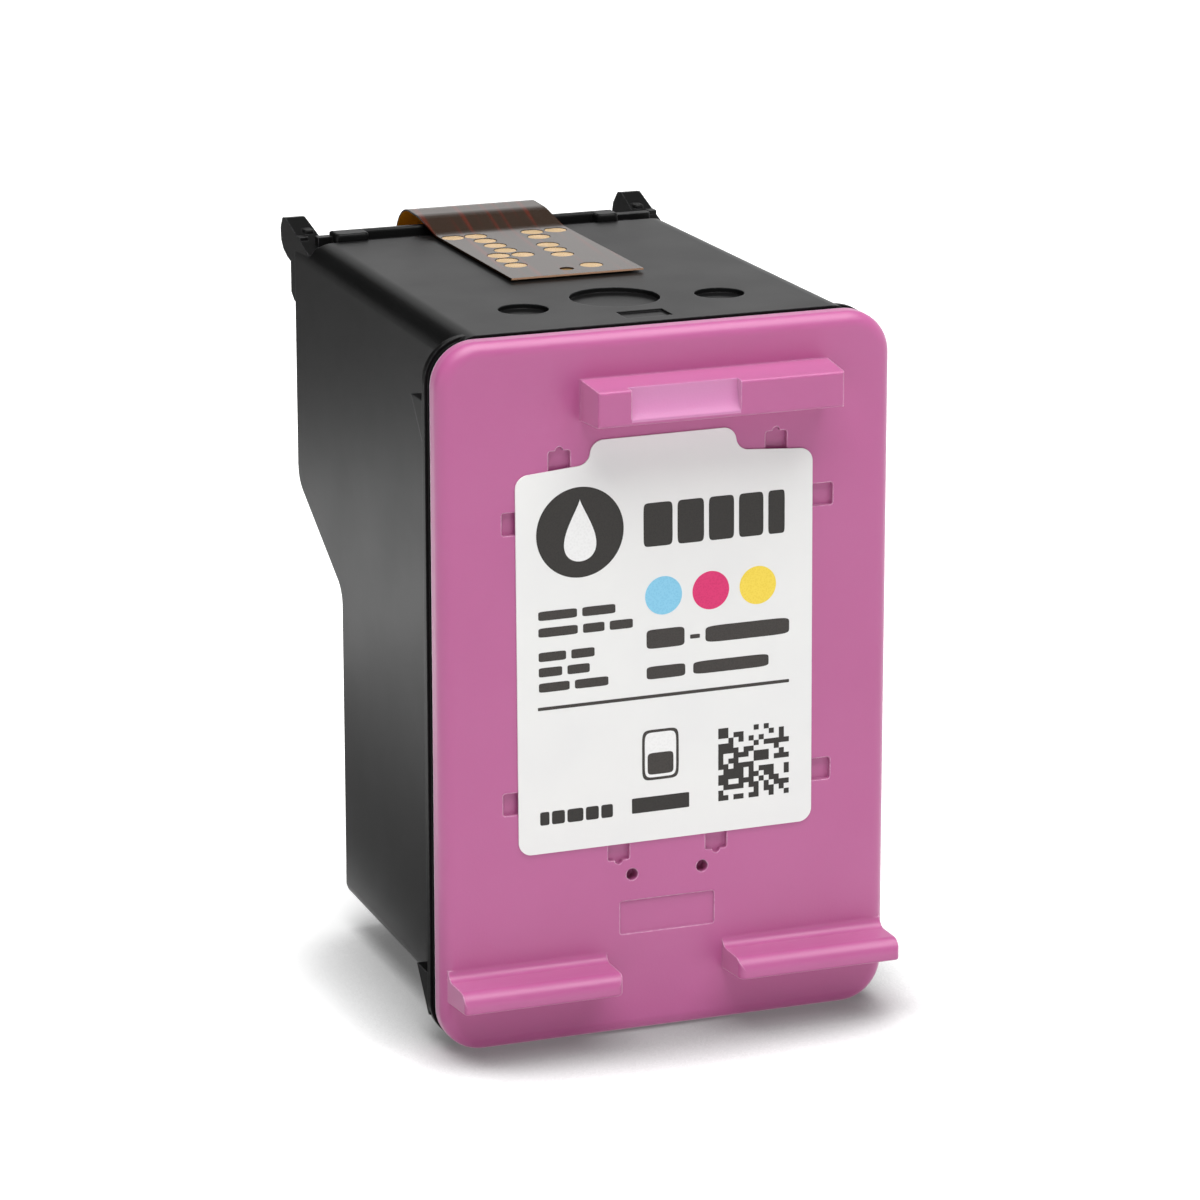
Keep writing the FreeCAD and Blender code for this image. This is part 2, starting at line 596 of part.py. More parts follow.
def ears(body):
    """The two hooked ears on the snout's top corners, each with a boss and a small step on its slope."""
    side = side_sketch(body, "EarOutline", D["earinner"])
    back = D["nozzleface"]
    polygon(side, [(back - 6.6, 53.4), (back + 2.0, D["eartop"]), (back + 2.85, D["eartop"] - 0.1),
                   (back + 3.4, 55.2), (back + 3.25, 54.2), (back + 2.75, 53.6), (back + 1.7, 53.1),
                   (back + 0.8, 52.9), (back + 0.8, 50.4), (back, 49.8), (back - 2.5, 49.8), (back - 5.5, 52.4)])
    ear = grow(body, "Ear", side, D["earouter"] - D["earinner"])
    mirror(body, "Ears", [ear])
    soften(body, "EarTips", as_size(0.35),
           lambda edge: runs_along(edge, "x") and edge.CenterOfMass.y > back.value + 1.5
           and edge.CenterOfMass.z > 54.5)

    slim = front_sketch(body, "EarTaperOutline", back - 1.6)
    above = D["eartop"] + 1
    for side_sign in (-1, 1):
        polygon(slim, [(D["earinner"] * side_sign, 54.3), (D["earslim"] * side_sign, D["eartop"]),
                       (D["earslim"] * side_sign, above), ((D["earinner"] - 0.5) * side_sign, above),
                       ((D["earinner"] - 0.5) * side_sign, 54.3)])
    cut(body, "EarTaper", slim, as_size(8))

    boss = top_sketch(body, "EarBossOutline", D["bosstop"])
    step = front_sketch(body, "EarStepOutline", D["stepfront"])
    for side_sign in (-1, 1):
        low, high = sorted((D["bossinner"] * side_sign, D["bossouter"] * side_sign), key=lambda size: size.value)
        round_rectangle(boss, low, high, D["bossfront"], D["bossfront"] + 1.6, as_size(0.3))
        low, high = sorted((D["bossouter"] * side_sign, D["earouter"] * side_sign), key=lambda size: size.value)
        rectangle(step, low, high, 54.0, D["steptop"])
    grow(body, "EarSteps", step, as_size(0.8), flip=True)
    grow(body, "EarBosses", boss, as_size(1.6), flip=True)
    soften(body, "EarBossTops", as_size(0.15),
           lambda edge: near(edge.CenterOfMass.z, D["bosstop"].value, 0.02)
           and 13.7 < abs(edge.CenterOfMass.x) < 14.8 and edge.CenterOfMass.y < D["bossfront"].value + 0.9)


def chambers(body):
    """Three ink chambers behind the mouth, split by a level and an upright partition."""
    half_wall = D["wall"] / 2
    deep = D["chamberfloor"] - D["seam"]
    low = front_sketch(body, "LowerChamberOutline", D["seam"])
    round_rectangle(low, -D["chamberhalf"], D["chamberhalf"], D["chamberlow"], D["chambersplit"] - half_wall,
                    D["chamberround"])
    cut(body, "LowerChamber", low, deep)
    for name, side in (("LeftChamber", -1), ("RightChamber", 1)):
        inner, outer = half_wall * side, D["chamberhalf"] * side
        left, right = (outer, inner) if side < 0 else (inner, outer)
        outline = front_sketch(body, name + "Outline", D["seam"])
        round_rectangle(outline, left, right, D["chambersplit"] + half_wall, D["chambertop"], D["chamberround"])
        cut(body, name, outline, deep)


def standpipes(body):
    """Wells in the snout, the three standpipes that the filters cap, and the rib round the long duct."""
    for name, side in (("LeftWell", -1), ("RightWell", 1)):
        inner, outer = D["wellinner"] * side, D["wellouter"] * side
        left, right = (outer, inner) if side < 0 else (inner, outer)
        well = front_sketch(body, name + "Outline", D["chamberfloor"] - 0.01)
        round_rectangle(well, left, right, D["welllow"], D["welltop"], D["chamberround"])
        cut(body, name, well, D["wellfloor"] - D["chamberfloor"] + 0.01)
    upper = front_sketch(body, "UpperStandpipeOutline", D["chamberfloor"] + D["filterthick"])
    for side in (-1, 1):
        disc(upper, D["towerside"] * side, D["towerhigh"], D["towerwide"])
    grow(body, "UpperStandpipes", upper, D["wellfloor"] - D["chamberfloor"], flip=True)
    rib = side_sketch(body, "DuctRibOutline")
    polygon(rib, [(D["ribfront"], D["towerlow"]), (D["chamberfloor"] + 0.4, D["towerlow"]),
                  (D["chamberfloor"] + 0.4, 38), (26.8, 38), (D["ribfront"], 36)])
    grow(body, "DuctRib", rib, D["ribhalf"] * 2, both=True)
    lower = front_sketch(body, "LowerStandpipeOutline", D["lowfilter"] + D["filterthick"])
    disc(lower, 0, D["towerlow"], D["towerwide"])
    grow(body, "LowerStandpipe", lower, D["chamberfloor"] - D["lowfilter"], flip=True)


def ink_channels(body):
    """Bores in the standpipes and the channels that bring the three inks together behind the chip."""
    upper = front_sketch(body, "UpperBoreOutline", D["chamberfloor"])
    for side in (-1, 1):
        disc(upper, D["towerside"] * side, D["towerhigh"], D["towerbore"])
    cut(body, "UpperBores", upper, D["wellfloor"] - D["chamberfloor"])
    lower = front_sketch(body, "LowerBoreOutline", D["lowfilter"])
    disc(lower, 0, D["towerlow"], D["towerbore"])
    cut(body, "LowerBore", lower, D["ductback"] - D["lowfilter"])
    duct = side_sketch(body, "LongDuctOutline")
    polygon(duct, [(D["ductfront"], D["towerlow"]), (D["ductback"], D["towerlow"]), (D["ductback"], 32.4),
                   (D["slotroot"] + 0.2, 42.2), (D["slotroot"] + 0.2, 47.0), (D["ductfront"], 34.5)])
    cut(body, "LongDuct", duct, D["ducthalf"] * 2, both=True)

    pocket = front_sketch(body, "ChipPocketOutline", D["nozzleface"] - D["pocketdeep"])
    half_wide, half_high = D["pocketwide"] / 2, D["pockethigh"] / 2
    round_rectangle(pocket, -half_wide, half_wide, D["headheight"] - half_high, D["headheight"] + half_high, 0.4)
    cut(body, "ChipPocket", pocket, D["pocketdeep"] + 1)
    slots = front_sketch(body, "InkSlotOutline", D["slotroot"])
    half_slot, half_long = D["slotwide"] / 2, D["slothigh"] / 2
    for number in (-1, 0, 1):
        middle = D["slotpitch"] * number
        rectangle(slots, middle - half_slot, middle + half_slot, D["headheight"] - half_long,
                  D["headheight"] + half_long)
    cut(body, "InkSlots", slots, D["nozzleface"] - D["slotroot"] - D["pocketdeep"] + 0.1)
    for name, side in (("LeftFunnel", -1), ("RightFunnel", 1)):
        wide = front_sketch(body, name + "Mouth", D["wellfloor"] - 0.05)
        middle = D["towerside"] * side
        rectangle(wide, middle - 1.9, middle + 1.9, D["towerhigh"] - 1.9, D["towerhigh"] + 1.9)
        narrow = front_sketch(body, name + "End", D["slotroot"] + 0.05)
        middle = D["slotpitch"] * side
        rectangle(narrow, middle - half_slot, middle + half_slot, D["headheight"] - half_long,
                  D["headheight"] + half_long)
        funnel = body.newObject("PartDesign::SubtractiveLoft", name)
        funnel.Profile = wide
        funnel.Sections = [narrow]
        funnel.Ruled = True
        document.recompute()


def housing():
    body = new_body("housing")
    shell_block(body)
    rim(body)
    contact_face(body)
    ears(body)
    chambers(body)
    standpipes(body)
    ink_channels(body)
    return body


# The lid: one magenta moulding.

def latch_bar(body):
    """The bar that the carriage's latch presses on: drafted, with a shallow finger scoop in its front."""
    draft = D["bardraft"]
    front = -(D["lidthick"] + D["barout"])
    root = front_sketch(body, "BarRoot", -D["lidthick"])
    rectangle(root, D["barleft"], D["barright"], D["barlow"], D["barhigh"])
    nose = front_sketch(body, "BarNose", front)
    rectangle(nose, D["barleft"] + 0.03, D["barright"] - draft, D["barlow"] + draft, D["barhigh"] - draft)
    bar = body.newObject("PartDesign::AdditiveLoft", "LatchBar")
    bar.Profile = root
    bar.Sections = [nose]
    bar.Ruled = True
    soften(body, "BarEdges", Size(0.22, "0.22"),
           lambda edge: near(edge.CenterOfMass.y, front.value, 0.03))

    scoop = side_sketch(body, "ScoopOutline", D["scoopleft"])
    lip = D["barlow"] + draft + D["scooplip"]
    back = front + D["scoopdeep"]
    bend = D["barhigh"] - 0.3
    rise = bend - lip
    curve = (rise * rise + D["scoopdeep"] * D["scoopdeep"]) / (D["scoopdeep"] * 2)
    polygon(scoop, [(front - 1, lip), (front, lip), (back, bend), (back, D["barhigh"] + 1),
                    (front - 1, D["barhigh"] + 1)], arcs={1: curve})
    cut(body, "FingerScoop", scoop, D["scoopright"] - D["scoopleft"], flip=True)


def fins(body):
    """The two round-nosed fins along the lid's bottom edge."""
    root = D["lidedge"] - D["lidthick"]
    face = -D["lidthick"]
    nose = face - D["finout"]
    for name, left, right in (("LeftFin", -D["finside"], D["finleft"]), ("RightFin", D["finright"], D["finside"])):
        side = side_sketch(body, name + "Outline", left)
        polygon(side, [(root, D["finlow"] - 0.1), (root, D["finhigh"] + D["finroot"]),
                       (face, D["finhigh"] + D["finroot"]), (face - D["finroot"], D["finhigh"]),
                       (nose + D["finround"], D["finhigh"]), (nose, D["finhigh"] - D["finround"]),
                       (nose, D["finlip"])], arcs={2: -D["finroot"], 4: D["finround"]})
        grow(body, name, side, right - left)
    corners = top_sketch(body, "FinCornerOutline", as_size(0))
    ends = [(-D["finside"], 1, D["finsharp"]), (D["finleft"], -1, D["finend"]),
            (D["finright"], 1, D["finend"]), (D["finside"], -1, D["finsharp"])]
    for end, inward, radius in ends:
        off = end - 0.5 * inward
        within = end + radius * inward
        outside = nose - 0.5
        if inward > 0:
            polygon(corners, [(off, outside), (within, outside), (within, nose), (end, nose + radius),
                              (off, nose + radius)], arcs={2: -radius})
        else:
            polygon(corners, [(off, nose + radius), (end, nose + radius), (within, nose), (within, outside),
                              (off, outside)], arcs={1: -radius})
    cut(body, "FinCorners", corners, D["finhigh"] * 4, both=True)
    soften(body, "FinLips", as_size(0.2),
           lambda edge: runs_along(edge, "x") and near(edge.CenterOfMass.y, nose.value)
           and near(edge.CenterOfMass.z, D["finlip"].value))


def lid_surface(body):
    """Vent pockets round the label, the channels and filling holes under it, pin marks and a bare plate."""
    face = -D["lidthick"]
    ends = front_sketch(body, "VentEndOutline", face)
    upright = [(-8.75, 44.0, 46.65), (8.75, 44.0, 46.65), (-4.0, 14.05, 16.6), (4.0, 14.05, 16.6)]
    for middle, low, high in upright:
        round_rectangle(ends, middle - 0.88, middle + 0.88, low, high, 0.2)
    level = [(-13.35, -11.0), (10.6, 13.45)]
    for left, right in level:
        for middle in (19.5, 41.35):
            round_rectangle(ends, left, right, middle - 0.88, middle + 0.88, 0.2)
    cut(body, "VentEnds", ends, D["ventdeep"])
    channels = front_sketch(body, "VentChannelOutline", face)
    for middle in (-8.75, 8.75):
        rectangle(channels, middle - 0.3, middle + 0.3, 37.5, 44.05)
    rectangle(channels, -3.13, -0.3, 15.75, 16.35)
    cut(body, "VentChannels", channels, D["ventdeep"])
    filling = front_sketch(body, "FillingHoleOutline", face)
    for across, up in ((-8.75, 36.6), (8.75, 36.6), (0, 17.0)):
        disc(filling, across, up, 2.2)
    cut(body, "FillingHoles", filling, D["lidthick"] + 1)
    scallops = front_sketch(body, "ScallopOutline", face)
    for across, up in ((-8.75, 46.65), (8.75, 46.65), (-4.0, 14.05), (4.0, 14.05)):
        disc(scallops, across, up, 0.62)
    cut(body, "Scallops", scallops, D["ventdeep"])
    marks = front_sketch(body, "PinMarkOutline", face)
    for across in (-2.9, 2.85):
        disc(marks, across, 12.8, 0.95)
    cut(body, "PinMarks", marks, 1.1)
    plate = front_sketch(body, "BarePlateOutline", face)
    round_rectangle(plate, -3.9, 3.85, 8.05, 10.7, 0.2)
    cut(body, "BarePlate", plate, D["platedeep"])


def lid():
    body = new_body("lid")
    half = D["width"] / 2
    outline = front_sketch(body, "PlateOutline", -D["lidthick"])
    round_rectangle(outline, -half, half, 0, D["height"], D["cornerround"])
    grow(body, "Plate", outline, D["lidthick"], flip=True)
    soften(body, "PlateEdge", D["lidedge"],
           lambda edge: near(edge.CenterOfMass.y, -D["lidthick"].value, 0.02))
    inset = D["seaminset"]
    step = front_sketch(body, "WeldStepOutline", 0)
    round_rectangle(step, inset - half, half - inset, inset, D["height"] - inset, D["cornerround"] - inset)
    grow(body, "WeldStep", step, D["seam"], flip=True)
    latch_bar(body)
    fins(body)
    lid_surface(body)
    press = front_sketch(body, "PressRibOutline", D["seam"] - 0.05)
    for middle in (-7, 0, 7):
        rectangle(press, middle - 0.5, middle + 0.5, D["chamberlow"] + 2, D["chambersplit"] - 5)
    for middle in (-11.6, -4.4, 4.4, 11.6):
        rectangle(press, middle - 0.5, middle + 0.5, D["chambersplit"] + 3, D["chambertop"] - 3)
    grow(body, "PressRibs", press, D["presslong"] - D["seam"] + 0.05, flip=True)
    return body


def label():
    """The label film: a rounded sheet with a tab, drawn about its own middle and set slightly crooked."""
    body = new_body("label")
    middle = D["labelmiddle"]
    centre = (D["labellow"] + D["labeltop"]) / 2
    half = D["labelwide"] / 2
    outline = front_sketch(body, "LabelOutline", -D["lidthick"] - D["labelthick"])
    low, shoulder, top = [D[name] - centre for name in ("labellow", "labelshoulder", "labeltop")]
    tab_left, tab_right = D["tableft"] - middle, D["tabright"] - middle
    polygon(outline, [(-half, low), (half, low), (half, shoulder - 0.1), (tab_right + 0.25, shoulder + 0.35),
                      (tab_right, top), (tab_left, top), (tab_left - 0.25, shoulder + 0.35),
                      (-half, shoulder - 0.1)])
    grow(body, "Film", outline, D["labelthick"], flip=True)
    soften(body, "FilmCorners", D["labelround"], lambda edge: runs_along(edge, "y"))
    body.Placement.Rotation = FreeCAD.Rotation(Vector(0, 1, 0), -D["labelturn"].value)
    bind(body, "Placement.Base.x", middle)
    bind(body, "Placement.Base.z", centre)
    return body


# What is inside: foams and filters.

def foam(label, left, right, low, high, notch):
    """A foam block that fills its chamber from the pressing ribs to the floor, less its notch."""
    body = new_body(label)
    gap = D["foamgap"]
    outline = front_sketch(body, "FoamOutline", D["presslong"])
    round_rectangle(outline, left + gap, right - gap, low + gap, high - gap, D["chamberround"])
    grow(body, "Foam", outline, D["chamberfloor"] - D["presslong"], flip=True)
    notch(body)
    return body


def standpipe_notch(body):
    """Where the lower foam is pressed round its standpipe and the duct's rib."""
    bore = front_sketch(body, "StandpipeNotchOutline", D["lowfilter"])
    disc(bore, 0, D["towerlow"], D["towerwide"] + D["foamgap"] * 2)
    cut(body, "StandpipeNotch", bore, 10)
    rib_notch(body)


def rib_notch(body):
    """Where a foam is pressed over the rib that holds the long duct."""
    half = D["ribhalf"] + D["foamgap"]
    rib = front_sketch(body, "RibNotchOutline", D["ribfront"] - D["foamgap"])
    rectangle(rib, -half, half, D["towerlow"], 38.1)
    cut(body, "RibNotch", rib, 10)


def foams():
    half_wall = D["wall"] / 2
    split = D["chambersplit"]
    foam("foam_magenta", -D["chamberhalf"], D["chamberhalf"], D["chamberlow"], split - half_wall, standpipe_notch)
    foam("foam_cyan", -D["chamberhalf"], -half_wall, split + half_wall, D["chambertop"], rib_notch)
    foam("foam_yellow", half_wall, D["chamberhalf"], split + half_wall, D["chambertop"], rib_notch)


def filters():
    """Woven steel discs, staked on the standpipes."""
    places = [("filter_magenta", as_size(0), D["towerlow"], D["lowfilter"]),
              ("filter_cyan", -D["towerside"], D["towerhigh"], D["chamberfloor"]),
              ("filter_yellow", D["towerside"], D["towerhigh"], D["chamberfloor"])]
    for name, across, up, depth in places:
        mesh = document.addObject("Part::Cylinder", name)
        mesh.Label = name
        bind(mesh, "Radius", D["towerwide"] / 2 - 0.3)
        bind(mesh, "Height", D["filterthick"])
        mesh.Placement = FreeCAD.Placement(Vector(), FreeCAD.Rotation(Vector(1, 0, 0), -90))
        bind(mesh, "Placement.Base.x", across)
        bind(mesh, "Placement.Base.y", depth + D["lidplane"])
        bind(mesh, "Placement.Base.z", up)


# The print head: circuit, pads, chip and its glues.

def flex_circuit():
    """The circuit: its cross-section swept along one bent path, over the far edge and down the nozzle face."""
    body = new_body("flex_circuit")
    top = D["topface"] + D["filmgap"] + D["filmthick"]
    outer = D["nozzleface"] + D["filmthick"]
    half = D["filmwide"] / 2
    section = front_sketch(body, "FilmSection", D["filmfront"])
    rectangle(section, -half, half, top - D["filmthick"], top)
    path = side_sketch(body, "FilmPath")
    bent_path(path, [(D["filmfront"], top, 0),
                     (D["rampfoot"], top, D["rampfootround"]),
                     (D["rampend"], D["rampheight"], D["rampendround"]),
                     (D["crest"], D["crestheight"], D["crestround"]),
                     (D["bulge"], D["bulgeheight"], D["bulgeround"]),
                     (outer, D["landing"], D["landinground"]),
                     (outer, D["filmlow"], 0)])
    film = body.newObject("PartDesign::AdditivePipe", "Film")
    film.Profile = section
    film.Spine = path
    document.recompute()

    hole = top_sketch(body, "AlignmentHoleOutline", top)
    disc(hole, D["holeacross"], D["holedepth"], D["holewide"])
    cut(body, "AlignmentHole", hole, D["filmthick"] * 2)
    openings = top_sketch(body, "PadOpeningOutline", top)
    for across, depth in PAD_PLACES:
        disc(openings, across, depth, D["padwide"] + D["padroom"] * 2)
    cut(body, "PadOpenings", openings, D["padsunk"])
    window = front_sketch(body, "ChipWindowOutline", D["nozzleface"] - 0.1)
    half_wide, half_high = D["pocketwide"] / 2, D["pockethigh"] / 2
    rectangle(window, -half_wide, half_wide, D["headheight"] - half_high, D["headheight"] + half_high)
    cut(body, "ChipWindow", window, as_size(0.5))
    return body


def flex_adhesive():
    """The adhesive film under the straight part of the circuit, a little narrower than it."""
    film = document.addObject("Part::Box", "flex_adhesive")
    film.Label = "flex_adhesive"
    bind(film, "Length", D["filmwide"] - D["glueinset"] * 2)
    bind(film, "Width", D["gluelong"])
    bind(film, "Height", D["filmgap"])
    bind(film, "Placement.Base.x", D["glueinset"] - D["filmwide"] / 2)
    bind(film, "Placement.Base.y", D["filmfront"] + D["glueinset"] + D["lidplane"])
    bind(film, "Placement.Base.z", D["topface"])
    return film


def contact_pads():
    """Gold pads that lie in the circuit's round openings."""
    level = D["topface"] + D["filmgap"] + D["filmthick"] - D["padsunk"]
    pads = []
    for number, (across, depth) in enumerate(PAD_PLACES, start=1):
        pad = document.addObject("Part::Cylinder", "pad_%02d" % number)
        bind(pad, "Radius", D["padwide"] / 2)
        bind(pad, "Height", D["padthick"])
        bind(pad, "Placement.Base.x", as_size(across))
        bind(pad, "Placement.Base.y", D["lidplane"] + depth)
        bind(pad, "Placement.Base.z", level)
        pads.append(pad)
    group = document.addObject("Part::Compound", "contact_pads")
    group.Label = "contact_pads"
    group.Links = pads
    return group


def head_plate(name, depth, thick, half_wide, half_high, slotted):
    """A flat plate of the print head at a depth, with the three ink slots through it where it has them."""
    body = new_body(name)
    outline = front_sketch(body, name + "_outline", depth)
    middle = D["headheight"]
    rectangle(outline, -half_wide, half_wide, middle - half_high, middle + half_high)
    half_slot, half_long = D["slotwide"] / 2, D["slothigh"] / 2
    for number in (-1, 0, 1) if slotted else ():
        across = D["slotpitch"] * number
        rectangle(outline, across - half_slot, across + half_slot, middle - half_long, middle + half_long)
    grow(body, name + "_plate", outline, thick, flip=True)
    return body


def print_head():
    """The chip in its pocket on its adhesive, the nozzle plate on it, and the beads at its two ends."""
    half_wide, half_high = D["chipwide"] / 2, D["chiphigh"] / 2
    floor = D["nozzleface"] - D["pocketdeep"]
    chip_back = floor + D["bondthick"]
    chip_face = chip_back + D["chipthick"]
    head_plate("die_adhesive", floor, D["bondthick"], half_wide, half_high, True)
    head_plate("printhead_die", chip_back, D["chipthick"], half_wide, half_high, True)
    head_plate("nozzle_plate", chip_face, D["platethick"], half_wide - D["plateinset"],
               half_high - D["plateend"], False)
    beads = []
    for name, end in (("lower", -1), ("upper", 1)):
        bead = document.addObject("Part::Ellipsoid", name + "_bead")
        bind(bead, "Radius1", as_size(0.8))
        bind(bead, "Radius2", as_size(2.9))
        bind(bead, "Radius3", as_size(0.5))
        bead.Angle3 = 180
        bind(bead, "Placement.Base.y", D["lidplane"] + D["nozzleface"] + D["filmthick"])
        bind(bead, "Placement.Base.z", D["headheight"] + (D["pockethigh"] / 2 + 0.1) * end)
        beads.append(bead)
    group = document.addObject("Part::Compound", "encapsulant_beads")
    group.Label = "encapsulant_beads"
    group.Links = beads


NODES = ["housing", "lid", "label", "foam_cyan", "foam_magenta", "foam_yellow", "filter_cyan", "filter_magenta",
         "filter_yellow", "flex_circuit", "flex_adhesive", "contact_pads", "die_adhesive", "printhead_die",
         "nozzle_plate", "encapsulant_beads"]


def check_document():
    """Stops at the first object that failed, or sub-part whose shape is missing or not valid."""
    for item in document.Objects:
        if "Invalid" in item.State or "Error" in item.State:
            raise RuntimeError("%s failed: %s" % (item.Label, item.State))
    for name in NODES:
        shape = document.getObjectsByLabel(name)[0].Shape
        if shape.isNull() or not shape.isValid() or not shape.Solids:
            raise RuntimeError(name + " has no valid solid")
        box = shape.BoundBox
        print("%-18s %2d solid  %9.2f mm3  x %.2f %.2f  y %.2f %.2f  z %.2f %.2f" % (
            name, len(shape.Solids), shape.Volume, box.XMin, box.XMax, box.YMin, box.YMax, box.ZMin, box.ZMax))


def export():
    os.makedirs("parts", exist_ok=True)
    for name in NODES:
        document.getObjectsByLabel(name)[0].Shape.exportStep("parts/%s.step" % name)


housing()
lid()
label()
foams()
filters()
flex_circuit()
flex_adhesive()
contact_pads()
print_head()
document.recompute()
check_document()
export()
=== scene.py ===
import math
import bpy
import numpy as np
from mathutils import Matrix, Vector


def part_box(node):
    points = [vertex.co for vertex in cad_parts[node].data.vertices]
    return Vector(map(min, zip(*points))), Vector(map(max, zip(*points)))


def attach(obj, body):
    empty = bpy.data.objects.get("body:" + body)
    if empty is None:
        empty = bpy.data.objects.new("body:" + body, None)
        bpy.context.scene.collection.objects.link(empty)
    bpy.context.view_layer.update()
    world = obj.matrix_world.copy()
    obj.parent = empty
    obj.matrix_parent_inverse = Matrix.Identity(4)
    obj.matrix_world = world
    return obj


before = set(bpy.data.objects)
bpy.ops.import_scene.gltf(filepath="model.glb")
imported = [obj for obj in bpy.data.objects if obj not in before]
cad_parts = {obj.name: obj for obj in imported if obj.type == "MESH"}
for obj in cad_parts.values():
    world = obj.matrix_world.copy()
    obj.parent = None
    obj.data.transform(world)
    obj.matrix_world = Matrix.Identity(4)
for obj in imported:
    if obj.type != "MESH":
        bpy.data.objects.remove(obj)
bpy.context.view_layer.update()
mm = 0.001
lidPlane = -19.65  # y of the lid's back plane, in mm: depths below are counted from it, as on the drawing
print("frame loaded:", len(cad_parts), "nodes")


def toLinear(hexColour):
    # sRGB hex to the linear values that Blender's colour sockets take
    text = hexColour.lstrip("#")
    channels = [int(text[i:i + 2], 16) / 255 for i in (0, 2, 4)]
    return tuple(c / 12.92 if c <= 0.04045 else ((c + 0.055) / 1.055) ** 2.4 for c in channels) + (1.0,)


def addNode(tree, kind, inputs=None, **settings):
    # one node: its settings, then each input either linked (a socket) or set (a value)
    node = tree.nodes.new(kind)
    for name, value in settings.items():
        setattr(node, name, value)
    for key, value in (inputs or {}).items():
        if isinstance(value, bpy.types.NodeSocket):
            tree.links.new(value, node.inputs[key])
        else:
            node.inputs[key].default_value = value
    return node


def setStops(node, stops):
    # a colour ramp's stops: (position, hex colour or grey number)
    elements = node.color_ramp.elements
    while len(elements) < len(stops):
        elements.new(0.5)
    for element, (position, value) in zip(elements, stops):
        element.position = position
        element.color = toLinear(value) if isinstance(value, str) else (value, value, value, 1.0)
    return node.outputs["Color"]


def newMaterial(name):
    material = bpy.data.materials.new(name)
    material.use_nodes = True
    material.node_tree.nodes.clear()
    return material, material.node_tree


def finishMaterial(tree, shader):
    addNode(tree, "ShaderNodeOutputMaterial", {"Surface": shader.outputs[0]})


def dress(nodeName, material):
    # a CAD node keeps its mesh and gets a better finish
    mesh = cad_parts[nodeName].data
    mesh.materials.clear()
    mesh.materials.append(material)


def addPiece(name, points, faces, material, slot):
    # points in mm in the frame; the object stays at the origin
    mesh = bpy.data.meshes.new(name)
    mesh.from_pydata((points * mm).tolist(), [], faces)
    mesh.materials.append(material)
    mesh.update()
    piece = bpy.data.objects.new(name, mesh)
    bpy.context.scene.collection.objects.link(piece)
    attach(piece, "root")
    return piece


# camera at the photograph's viewing angle
view = {"place": (-144.589, -364.522 + lidPlane, 142.518), "azimuth": 21.0, "elevation": 15.5, "roll": 0.06,
        "focalPixels": 5363.0, "framePixels": 1200.0, "sensor": 36.0, "farthest": 20}
# what the world sends from each height above the horizon (sine of the angle, strength), the share of it that fills
# the scene, and the lamps: place and size in metres, power in watts
light = {"sky": [(0.0, 1.0), (0.16, 1.05), (0.22, 1.38), (0.3, 1.38), (0.36, 0.12), (0.5, 0.04)],
         "skyFill": 0.64, "target": (0, 0, 0.03),
         "topSoftbox": {"place": (0.03, -0.16, 0.8), "size": 0.85, "power": 12.6},
         "leftFill": {"place": (-0.88, -0.4, 0.35), "size": 0.7, "power": 0.5}}

cameraData = bpy.data.cameras.new("camera")
cameraData.sensor_width = view["sensor"]
cameraData.lens = view["focalPixels"] / view["framePixels"] * view["sensor"]
cameraData.clip_end = view["farthest"]
camera = bpy.data.objects.new("camera", cameraData)
camera.location = [v * mm for v in view["place"]]
camera.rotation_euler = (math.radians(90 - view["elevation"]), math.radians(view["roll"]),
                         math.radians(-view["azimuth"]))
bpy.context.scene.collection.objects.link(camera)
bpy.context.scene.camera = camera
bpy.context.scene.view_settings.view_transform = "Standard"


def seenRays(tree):
    # 1 for rays that see a surface (camera, reflection, transmission), 0 for the ones that only gather its light
    ray = addNode(tree, "ShaderNodeLightPath")
    seen = addNode(tree, "ShaderNodeMath", {0: ray.outputs["Is Camera Ray"], 1: ray.outputs["Is Glossy Ray"]},
                   operation="MAXIMUM")
    return addNode(tree, "ShaderNodeMath", {0: seen.outputs[0], 1: ray.outputs["Is Transmission Ray"]},
                   operation="MAXIMUM").outputs[0]


def buildWorld():
    # a white wall all round, up to about 17 degrees above the horizon, and a dark room over it: the top of the
    # housing mirrors the wall, which gives less fill than its looks so that the overhead lamp models the relief
    world = bpy.data.worlds.new("studio")
    world.use_nodes = True
    tree = world.node_tree
    tree.nodes.clear()
    where = addNode(tree, "ShaderNodeTexCoord")
    split = addNode(tree, "ShaderNodeSeparateXYZ", {0: where.outputs["Generated"]})
    sky = setStops(addNode(tree, "ShaderNodeValToRGB", {"Fac": split.outputs["Z"]}), light["sky"])
    strength = addNode(tree, "ShaderNodeMapRange", {0: seenRays(tree), 3: light["skyFill"], 4: 1.0})
    back = addNode(tree, "ShaderNodeBackground", {"Color": sky, "Strength": strength.outputs[0]})
    addNode(tree, "ShaderNodeOutputWorld", {"Surface": back.outputs[0]})
    bpy.context.scene.world = world


def addLamp(name):
    # a square area lamp from the settings above, turned so that it faces the target
    lampLook = light[name]
    data = bpy.data.lights.new(name, "AREA")
    data.shape = "RECTANGLE"
    data.size = data.size_y = lampLook["size"]
    data.energy = lampLook["power"]
    lamp = bpy.data.objects.new(name, data)
    lamp.location = lampLook["place"]
    way = np.array(light["target"]) - np.array(lampLook["place"])
    lamp.rotation_euler = (math.atan2(math.hypot(way[0], way[1]), -way[2]), 0, math.atan2(-way[0], way[1]))
    bpy.context.scene.collection.objects.link(lamp)


